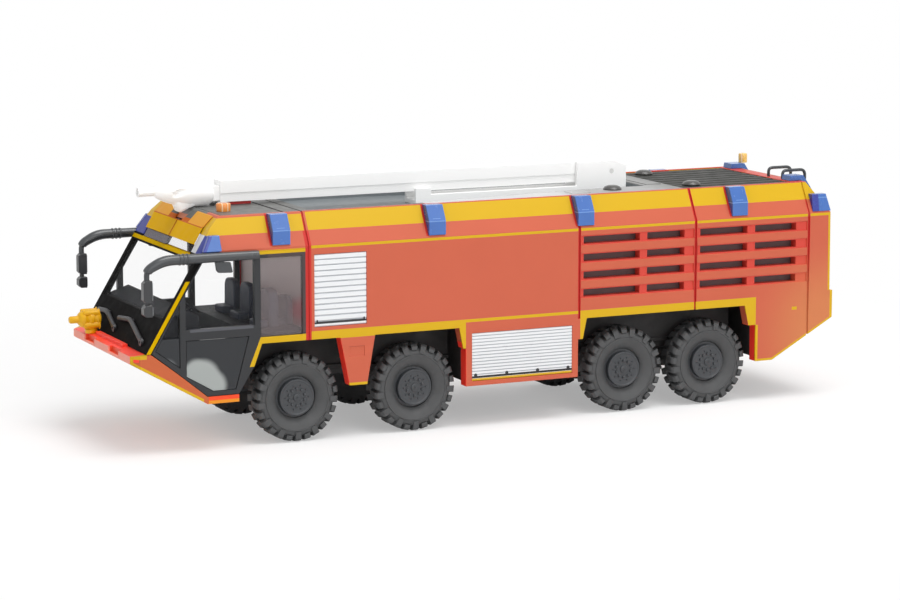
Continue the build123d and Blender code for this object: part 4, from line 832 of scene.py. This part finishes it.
class TRUCK_OT_cab(bpy.types.Operator):
    """Finish the cab: frames, windows, interior, wipers and front plates"""
    bl_idname = "truck.cab"
    bl_label = "Cab"

    def execute(self, context):
        fine = sizes().fine_edge
        dress("windscreen_frame", screen_frame_finish(), fine)
        dress("side_frame_left side_frame_right", side_frame_finish(), fine)
        dress("side_glass_left side_glass_right", glass_finish())
        dress("windscreen", screen_glass_finish())
        dress("upper_glass", upper_glass_finish())
        dress("cab_floor", plain_finish("Cab floor plastic", (32, 34, 38), roughness=0.6, gloss=0.2), fine)
        board = plain_finish("Dashboard plastic", (26, 27, 31), roughness=0.6, grain=0.01, gloss=0.1)
        dress("dashboard", board, fine)
        self.seats(plain_finish("Chair plastic", looks().seat, roughness=0.5, grain=0.05, mottle=0.1))
        dress("front_plates", plates_finish(), fine)
        self.wipers()
        return {"FINISHED"}

    def wipers(self):
        """Two bent arms with blades, each turning on a round foot on the screen."""
        black = plain_finish("Wiper plastic", (40, 39, 42))

        def on_screen(y, z, proud):
            return Vector((screen_x(z) - proud, y, z))

        bm = bmesh.new()
        for pivot, elbow, tip in (((-12.9, 19.6), (-3.5, 22.1), (2.1, 21.6)), ((2.2, 19.8), (9.0, 21.8), (13.2, 21.5))):
            root = on_screen(*pivot, 0.2)
            bend = on_screen(*elbow, 0.5)
            end = on_screen(*tip, 0.42)
            add_tube(bm, smooth_path([root, bend, end], 1.2), 0.46, sides=12)
            add_tube(bm, [on_screen(elbow[0] - 1.0, elbow[1], 0.2), on_screen(*tip, 0.2)], 0.2, sides=8)
            add_tube(bm, [root + Vector((0.12, 0, 0)), root - Vector((0.35, 0, 0))], 0.7, sides=20)
        make_piece("wipers", bm, black, smooth=40)

    def seats(self, plastic):
        """Seats with a high rounded back and a cushion on a plain foot."""
        bm = bmesh.new()
        for x, y, top, thick in (
            (-4.2, -10.4, 27.2, 1.9), (-4.2, -0.7, 26.9, 1.3), (-4.2, 7.2, 26.6, 1.3),
            (-0.3, -9.0, 25.6, 1.3), (-0.3, 9.0, 25.2, 1.3),
        ):
            half = ((2.6, 20.4), (2.6, top - 1.4), (2.3, top - 0.6), (1.6, top - 0.15), (0.7, top))
            outline = [(y + v, w) for v, w in half]
            outline += [(2 * y - v, w) for v, w in reversed(outline)]
            near = [(x + 0.1 * (w > 25), v, w) for v, w in outline]
            add_skin(bm, [near, [(x + thick, v, w) for v, w in outline]])
            add_block(bm, x - 2.0, x + 0.1, y - 2.2, y + 2.2, 20.35, 21.7)
        make_piece(
            "rounded_seats", bm, plastic, slot="seat_blue", replaces=("seats",), smooth=40,
            round_off=6 * sizes().fine_edge,
        )


class TRUCK_OT_lamps(bpy.types.Operator):
    """Finish the blue lamps and build the amber beacons"""
    bl_idname = "truck.lamps"
    bl_label = "Lamps"

    def execute(self, context):
        dress("side_lamps front_corner_lamps rear_corner_lamps", lamp_finish(), 2 * sizes().fine_edge)
        amber = Finish("Beacon plastic", looks().beacon, roughness=0.18, coat=0.5, mottle=0.12)
        amber.paint((238, 192, 92), x0=90)
        # Painted highlights: thin pale glints down the beacons
        amber.paint((250, 214, 168), *[amber.zone(x, x + 0.2) for x in (-11.5, -10.5, 105.9)])
        bm = bmesh.new()
        for x, y, foot, wide, high in ((-10.8, -8.2, 41.16, 1.3, 1.45), (106.6, 11.14, 42.16, 0.86, 1.82)):
            profile = [(0.98, 0.0), (1.0, 0.1), (1.0, 0.86), (0.94, 0.95), (0.8, 1.0), (0.2, 1.0)]
            add_lathe(bm, [(r * wide, h * high + foot) for r, h in profile], 48, axis="Z", centre=(x, y, 0))
        make_piece("amber_beacons", bm, amber.done(), slot="lamp_amber", replaces=("beacons",), smooth=45)
        return {"FINISHED"}


class TRUCK_OT_wheels(bpy.types.Operator):
    """Build the lugged tyres and the bolted wheel discs"""
    bl_idname = "truck.wheels"
    bl_label = "Wheels and Tyres"

    def execute(self, context):
        rubber = plain_finish("Tyre rubber", looks().tyre, roughness=0.62, grain=0.05, mottle=0.08)
        disc = plain_finish("Wheel plastic", looks().wheel, roughness=0.42, coat=0.15, mottle=0.08)
        tyre, wheel = self.tyre(rubber), self.wheel(disc)
        for number, x in AXLES.items():
            bm = bmesh.new()
            for side in (1, -1):
                place = Matrix.Translation((x, side * TYRE_OUT_Y, AXLE_Z)) @ Matrix.Diagonal((1, side, 1, 1))
                join_mesh(bm, wheel, place)
                name = "right" if side > 0 else "left"
                copy = bmesh.new()
                join_mesh(copy, tyre, place)
                make_piece(
                    f"tyre_{number}_{name}_lugged", copy, rubber, body=f"wheels_{number}", slot="tyre",
                    replaces=(f"tyre_{number}_{name}",), smooth=35,
                )
            reach = TYRE_OUT_Y - 4.6
            add_lathe(bm, [(0.75, -reach), (0.75, reach)], 32, centre=(x, 0, AXLE_Z))
            make_piece(
                f"axle_{number}_wheels", bm, disc, body=f"wheels_{number}", slot="wheel_grey",
                replaces=(f"axle_{number}",), smooth=35,
            )
        tyre.free()
        wheel.free()
        return {"FINISHED"}

    def tyre(self, rubber):
        """Carcass with a dished sidewall, and two rows of lugs, every second one reaching further in."""
        bm = bmesh.new()
        profile = [
            (3.72, -1.5), (3.8, -1.22), (4.05, -1.02), (4.5, -0.74), (5.0, -0.48), (5.5, -0.26), (5.84, -0.14),
            (5.9, -0.02), (6.04, -0.02), (6.1, -0.18), (6.5, -0.24), (6.9, -0.42), (7.15, -0.75), (7.24, -1.2),
            (7.25, -2.5), (7.24, -4.2), (6.95, -4.8), (5.6, -4.95), (4.4, -4.9), (3.72, -4.5),
        ]
        add_lathe(bm, profile, 104, loop=True)
        outer = [(7.2, -2.75), (7.93, -2.6), (7.95, -0.75), (7.86, -0.42), (7.5, -0.12)]
        long = outer + [(6.3, -0.04), (6.22, -0.12), (6.3, -0.5)]
        short = outer + [(7.0, -0.08), (6.92, -0.16), (6.95, -0.6)]
        inner = [(6.4, -4.7), (6.4, -4.96), (7.4, -4.92), (7.86, -4.6), (7.95, -4.3), (7.93, -2.4), (6.98, -2.3)]
        pitch = 2 * math.pi / sizes().lugs
        tree, count, phase = array_tree("Lug ring", rubber, round_axis=True)
        for section, shift, lean in ((long, 0, 0.1), (short, 1, 0.1), (inner, 0.5, -0.1), (inner, 1.5, -0.1)):
            seed = bmesh.new()
            rings = []
            middle = sum(r for r, y in section) / len(section)
            across = sum(y for r, y in section) / len(section)
            for share, shrink in ((-0.31, 0.97), (-0.28, 1.0), (0.28, 1.0), (0.31, 0.97)):
                ring = []
                for radius, y in section:
                    angle = -math.pi / 2 + (share + lean * (y - across)) * pitch
                    r = middle + (radius - middle) * (shrink if radius > middle else 1)
                    ring.append((r * math.cos(angle), y, r * math.sin(angle)))
                rings.append(ring)
            add_skin(seed, rings)
            bmesh.ops.recalc_face_normals(seed, faces=seed.faces)
            lugs = grown(seed, tree, {count: sizes().lugs // 2, phase: shift * pitch})
            join_mesh(bm, lugs)
            lugs.free()
        return bm

    def wheel(self, disc):
        """Wheel whose flat disc stands out of the tyre, with a bolt circle and a hub cap."""
        bm = bmesh.new()
        profile = [
            (3.7, -4.5), (3.7, -1.45), (3.34, -1.42), (3.32, -0.48), (3.24, -0.38), (3.05, -0.36), (2.95, -0.44),
            (2.75, -0.46), (0.75, -0.46), (0.72, -0.3), (0.64, -0.25), (0.2, -0.24),
        ]
        add_lathe(bm, profile, 72)
        for wide, high in ((0.5, 0.07), (0.07, 0.5)):
            add_block(bm, -wide, wide, -0.27, -0.19, -high, high)
        tree, count, phase = array_tree("Bolt ring", disc, round_axis=True)
        for radius, place, height, shift in ((0.27, 1.55, -0.22, 0.5), (0.12, 2.2, -0.34, 0.0)):
            seed = bmesh.new()
            add_lathe(seed, [(radius, -0.5), (radius, height), (radius * 0.7, height + 0.06)], 14, centre=(place, 0, 0))
            bolts = grown(seed, tree, {count: sizes().bolts, phase: shift * 2 * math.pi / sizes().bolts})
            join_mesh(bm, bolts)
            bolts.free()
        return bm


class TRUCK_OT_mirrors(bpy.types.Operator):
    """Build the curved mirror arms with their heads"""
    bl_idname = "truck.mirrors"
    bl_label = "Mirrors"

    def execute(self, context):
        grey = Finish("Mirror plastic", looks().trim, roughness=0.32, coat=0.25, mottle=0.08)
        grey.paint((36, 37, 40), z1=31.3)
        grey = grey.done()
        face = plain_finish("Mirror face", (190, 194, 198), roughness=0.08, mottle=0.02)
        radius = sizes().arm / MM
        arm_z, head_x = 34.5, -28.7
        for side, name in ((1, "right"), (-1, "left")):
            y = side * (SIDE_Y + radius + 0.1)
            bm = bmesh.new()
            corners = [(-8.1, y, arm_z), (-25.7, y, arm_z), (head_x, y, 32.9), (head_x, y, 30.9)]
            path = smooth_path(corners, 3.2, 10)
            add_tube(bm, path, [radius * self.swell(point) for point in path], sides=24)
            for x in (-21.3, -22.0, -22.7):
                section = [(radius * 0.9, -0.24), (radius * 1.3, -0.14), (radius * 1.3, 0.14), (radius * 0.9, 0.24)]
                add_lathe(bm, section, 24, axis="X", centre=(x, y, arm_z))
            inner, outer = sorted((side * (SIDE_Y + 0.05), y))
            add_block(bm, -9.6, -8.0, inner, outer, 33.8, 35.2)
            self.head(bm, y, 27.4, 31.2, 1.45)
            self.head(bm, y, 24.9, 26.9, 1.6)
            add_tube(bm, [(head_x, y, 27.6), (head_x, y, 26.7)], 0.42, sides=14)
            plate = [
                (-16.18, 33.69), (-15.95, 32.2), (-15.6, 31.78), (-15.2, 31.74), (-13.2, 31.66), (-12.95, 31.8),
                (-13.35, 33.51),
            ]
            add_prism(bm, plate, y - 0.3, y + 0.3)
            add_block(bm, -15.5, -14.5, y - 0.25, y + 0.25, 33.4, 34.4)
            make_piece(
                f"mirror_{name}_arm", bm, grey, replaces=(f"mirror_{name}",), smooth=40,
                round_off=sizes().fine_edge * 2,
            )
            bm = bmesh.new()
            for low, high in ((27.75, 30.85), (25.2, 26.6)):
                add_block(bm, -27.84, -27.8, y - 0.62, y + 0.62, low, high)
            make_piece(f"mirror_{name}_faces", bm, face)
        return {"FINISHED"}

    def swell(self, point):
        """Share of the arm's radius at a point: fuller in the bend, slim above the head."""
        if point.x > -22:
            return 1.0
        if point.z < 32.6:
            return 0.62
        return 1.0 + 0.2 * math.sin(math.pi * min(1, (-22 - point.x) / 6.7))

    def head(self, bm, y, low, high, width):
        """Mirror housing, narrower in front than at its face."""
        x0, x1, cut = -29.5, -27.9, 0.448
        outline = [(x0, low + cut), (x0 + cut, low), (x1, low), (x1, high), (x0 + cut, high), (x0, high - cut)]
        add_prism(bm, outline, y - width / 2, y + width / 2)


class TRUCK_OT_boom(bpy.types.Operator):
    """Finish the boom and build its monitor"""
    bl_idname = "truck.boom"
    bl_label = "Boom"

    def execute(self, context):
        white = Finish("Boom plastic", looks().boom, roughness=0.42, mottle=0.01)
        # Painted light: a faint glow that lightens the boom's shaded faces
        fill(white.shader, {"Emission Color": (1, 1, 1, 1), "Emission Strength": 0.06})
        white = white.done()
        dress("boom boom_base", white, sizes().edge)
        dress("boom_pin", plain_finish("Pin plastic", (226, 226, 224)))
        self.monitor(white)
        return {"FINISHED"}

    def monitor(self, white):
        """Smooth barrel with a lower lobe, a neck and a nozzle at the boom's front."""
        bm = bmesh.new()
        stations = [
            (-9.9, 43.3, 1.15, 1.3), (-10.2, 43.25, 1.6, 1.75), (-10.9, 43.3, 2.05, 2.1), (-11.9, 43.45, 2.32, 2.35),
            (-13.2, 43.55, 2.45, 2.45), (-14.7, 43.62, 2.45, 2.4), (-16.2, 43.7, 2.3, 2.2), (-17.4, 43.78, 2.12, 2.0),
            (-18.6, 43.9, 1.82, 1.75), (-19.7, 44.0, 1.45, 1.45), (-20.4, 44.1, 1.15, 1.15), (-20.75, 44.15, 0.9, 0.9),
        ]
        rings = []
        for x, z, high, wide in stations:
            low = high * 0.97 if -18.6 < x < -10.9 else high
            rings.append([(x, wide * u, z + v * (high if v > 0 else low)) for u, v in circle(1, 48)])
        add_skin(bm, rings)
        bmesh.ops.subdivide_edges(bm, edges=bm.edges[:], cuts=1, smooth=0.6, use_grid_fill=True)
        for vertex in bm.verts:
            x, y, z = vertex.co
            away = math.hypot((x + 16.9) / 1.15, (z - 43.9 - (x + 16.9) * 0.55) / 0.55)
            if away < 1 and abs(y) > 1.2:
                vertex.co.y -= math.copysign(0.75 * (1 - away * away), y)
        lobe = [
            (-12.6, 41.6), (-14.6, 40.95), (-16.2, 40.24), (-16.75, 40.5), (-17.2, 41.6), (-17.6, 42.6), (-14.0, 43.2),
        ]
        cx, cz = -15.6, 41.9
        widths = ((-1.55, 0.55), (-1.4, 0.78), (-1.0, 0.94), (0, 1.0), (1.0, 0.94), (1.4, 0.78), (1.55, 0.55))
        add_skin(bm, [
            [(cx + (x - cx) * shrink, across, cz + (z - cz) * shrink) for x, z in lobe] for across, shrink in widths
        ])
        add_block(bm, -11.0, -8.88, -1.25, 1.25, 42.15, 44.75)
        nozzle = [
            (0.8, -20.5), (0.8, -22.3), (0.84, -23.75), (0.84, -23.95), (0.6, -23.95), (0.6, -21.5), (0.05, -21.45),
        ]
        add_lathe(bm, nozzle, 36, axis="X", centre=(0, 0, 44.22))
        make_piece("boom_monitor", bm, white, body="boom", slot="boom_white", replaces=("boom_head",), smooth=45)


class TRUCK_OT_monitor(bpy.types.Operator):
    """Build the small water monitor on the bumper"""
    bl_idname = "truck.monitor"
    bl_label = "Bumper Monitor"

    def execute(self, context):
        yellow = plain_finish("Monitor plastic", (226, 172, 12), roughness=0.35, gloss=0.35, mottle=0.06)
        bm = bmesh.new()
        x, y, z = -30.1, 9.5, 20.5
        barrel = [
            (1.0, 1.9), (1.45, 1.6), (1.5, 1.2), (1.38, 1.05), (1.38, 0.5), (1.55, 0.35), (1.55, -0.2), (1.36, -0.4),
            (1.36, -1.0), (1.5, -1.2), (1.45, -1.7), (1.1, -2.1), (0.75, -2.3), (0.66, -2.6), (0.66, -3.7), (0.5, -3.9),
        ]
        add_lathe(bm, barrel, 40, axis="X", centre=(x, y, z))
        for shift, up, wide in ((-0.75, 1.15, 0.55), (0.75, 1.2, 0.55), (-0.9, -1.0, 0.6)):
            pipe = [(0.2, 1.5), (0.8 * wide / 0.55, 1.45), (wide, 1.3), (wide, -1.3), (0.8 * wide, -1.5), (0.1, -1.55)]
            add_lathe(bm, pipe, 24, axis="X", centre=(x, y + shift, z + up))
        foot = [(1.05, 17.92), (1.15, 18.1), (1.15, 18.6), (0.95, 18.8), (1.2, 19.3), (1.25, 20.2)]
        add_lathe(bm, foot, 36, axis="Z", centre=(x + 0.2, y, 0))
        make_piece("bumper_monitor", bm, yellow, slot="plate_yellow", replaces=("front_monitor",), smooth=40)
        return {"FINISHED"}


class TRUCK_OT_stage(bpy.types.Operator):
    """Set up the floor, lights, world and camera"""
    bl_idname = "truck.stage"
    bl_label = "Stage"

    def execute(self, context):
        self.floor()
        self.world()
        for name, place, size, power in LIGHTS:
            light = bpy.data.lights.new(name, "AREA")
            light.shape = "SQUARE"
            light.size = size
            light.energy = power
            self.aim(light, place, LIGHT_AIM)
        camera = bpy.data.cameras.new("Camera")
        camera.lens = CAMERA_LENS
        camera.sensor_width = 36.0
        camera.clip_start, camera.clip_end = 0.01, 10
        context.scene.camera = self.aim(camera, CAMERA_PLACE, CAMERA_AIM)
        context.scene.view_settings.view_transform = "Standard"
        return {"FINISHED"}

    def aim(self, data, place, target):
        """Stands a light or camera at a place and turns it to a target."""
        item = add_object(data.name, data)
        item.location = place
        item.rotation_euler = (Vector(target) - item.location).to_track_quat("-Z", "Y").to_euler()
        return item

    def surface(self, tree, output, *sockets):
        """Mixes two shaders by a factor, given first, into the output of a tree."""
        blend = shader_node(tree, "MixShader")
        for number, socket in enumerate(sockets):
            tree.links.new(socket, blend.inputs[number])
        tree.links.new(blend.outputs[0], tree.nodes[output].inputs["Surface"])

    def floor(self):
        """Pale round floor that turns white for the camera where the shadow ends."""
        bm = bmesh.new()
        bmesh.ops.create_circle(bm, cap_ends=True, segments=64, radius=3.0)
        plate = mesh_object("floor", bm)
        plate.location.z = -0.0001
        material = bpy.data.materials.new("Floor paper")
        material.use_nodes = True
        tree = material.node_tree
        link = tree.links.new
        shader = tree.nodes["Principled BSDF"]
        fill(shader, {"Base Color": (FLOOR_TONE, FLOOR_TONE, FLOOR_TONE, 1), "Roughness": 0.9})
        far = shader_node(tree, "VectorMath", operation="LENGTH")
        fade = shader_node(tree, "MapRange", interpolation_type="SMOOTHSTEP")
        fill(fade, {"From Min": SHADOW_FADE[0], "From Max": SHADOW_FADE[1], "To Min": 0.36})
        rays, glow = shader_node(tree, "LightPath"), shader_node(tree, "Emission")
        seen = shader_node(tree, "Math", operation="MULTIPLY")
        link(shader_node(tree, "TexCoord").outputs["Object"], far.inputs[0])
        link(far.outputs["Value"], fade.inputs["Value"])
        link(fade.outputs["Result"], seen.inputs[0])
        link(rays.outputs["Is Camera Ray"], seen.inputs[1])
        self.surface(tree, "Material Output", seen.outputs[0], shader.outputs[0], glow.outputs[0])
        plate.data.materials.append(material)

    def world(self):
        """Soft white light all round, seen as plain white by the camera and in gloss and glass."""
        world = bpy.data.worlds.new("Studio")
        world.use_nodes = True
        bpy.context.scene.world = world
        tree = world.node_tree
        soft, white = tree.nodes["Background"], shader_node(tree, "Background")
        for node, strength in ((soft, WORLD_LIGHT), (white, 1.0)):
            fill(node, {"Color": (1, 1, 1, 1), "Strength": strength})
        rays = shader_node(tree, "LightPath").outputs
        seen = rays["Is Camera Ray"]
        for kind in ("Is Glossy Ray", "Is Transmission Ray"):
            either = shader_node(tree, "Math", operation="MAXIMUM")
            tree.links.new(seen, either.inputs[0])
            tree.links.new(rays[kind], either.inputs[1])
            seen = either.outputs[0]
        self.surface(tree, "World Output", seen, soft.outputs[0], white.outputs[0])


OPERATORS = (
    TRUCK_OT_body, TRUCK_OT_seam, TRUCK_OT_roof, TRUCK_OT_shutters, TRUCK_OT_cab, TRUCK_OT_lamps, TRUCK_OT_wheels,
    TRUCK_OT_mirrors, TRUCK_OT_boom, TRUCK_OT_monitor, TRUCK_OT_stage,
)


class TRUCK_PT_panel(bpy.types.Panel):
    """Shows the model's colours and sizes, and a button for each step"""
    bl_idname = "TRUCK_PT_panel"
    bl_label = "Fire Truck"
    bl_space_type = "VIEW_3D"
    bl_region_type = "UI"
    bl_category = "Fire Truck"

    def draw(self, context):
        for group in (context.scene.truck_colours, context.scene.truck_sizes):
            box = self.layout.box()
            for name in group.__annotations__:
                box.prop(group, name)
        for operator in OPERATORS:
            self.layout.operator(operator.bl_idname)


CLASSES = (TruckColours, TruckSizes, *OPERATORS, TRUCK_PT_panel)


def register():
    for item in CLASSES:
        bpy.utils.register_class(item)
    bpy.types.Scene.truck_colours = PointerProperty(type=TruckColours)
    bpy.types.Scene.truck_sizes = PointerProperty(type=TruckSizes)


def unregister():
    del bpy.types.Scene.truck_sizes
    del bpy.types.Scene.truck_colours
    for item in reversed(CLASSES):
        bpy.utils.unregister_class(item)


def main():
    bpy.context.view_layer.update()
    register()
    for operator in OPERATORS:
        group, name = operator.bl_idname.split(".")
        getattr(getattr(bpy.ops, group), name)()


if __name__ == "__main__":
    main()
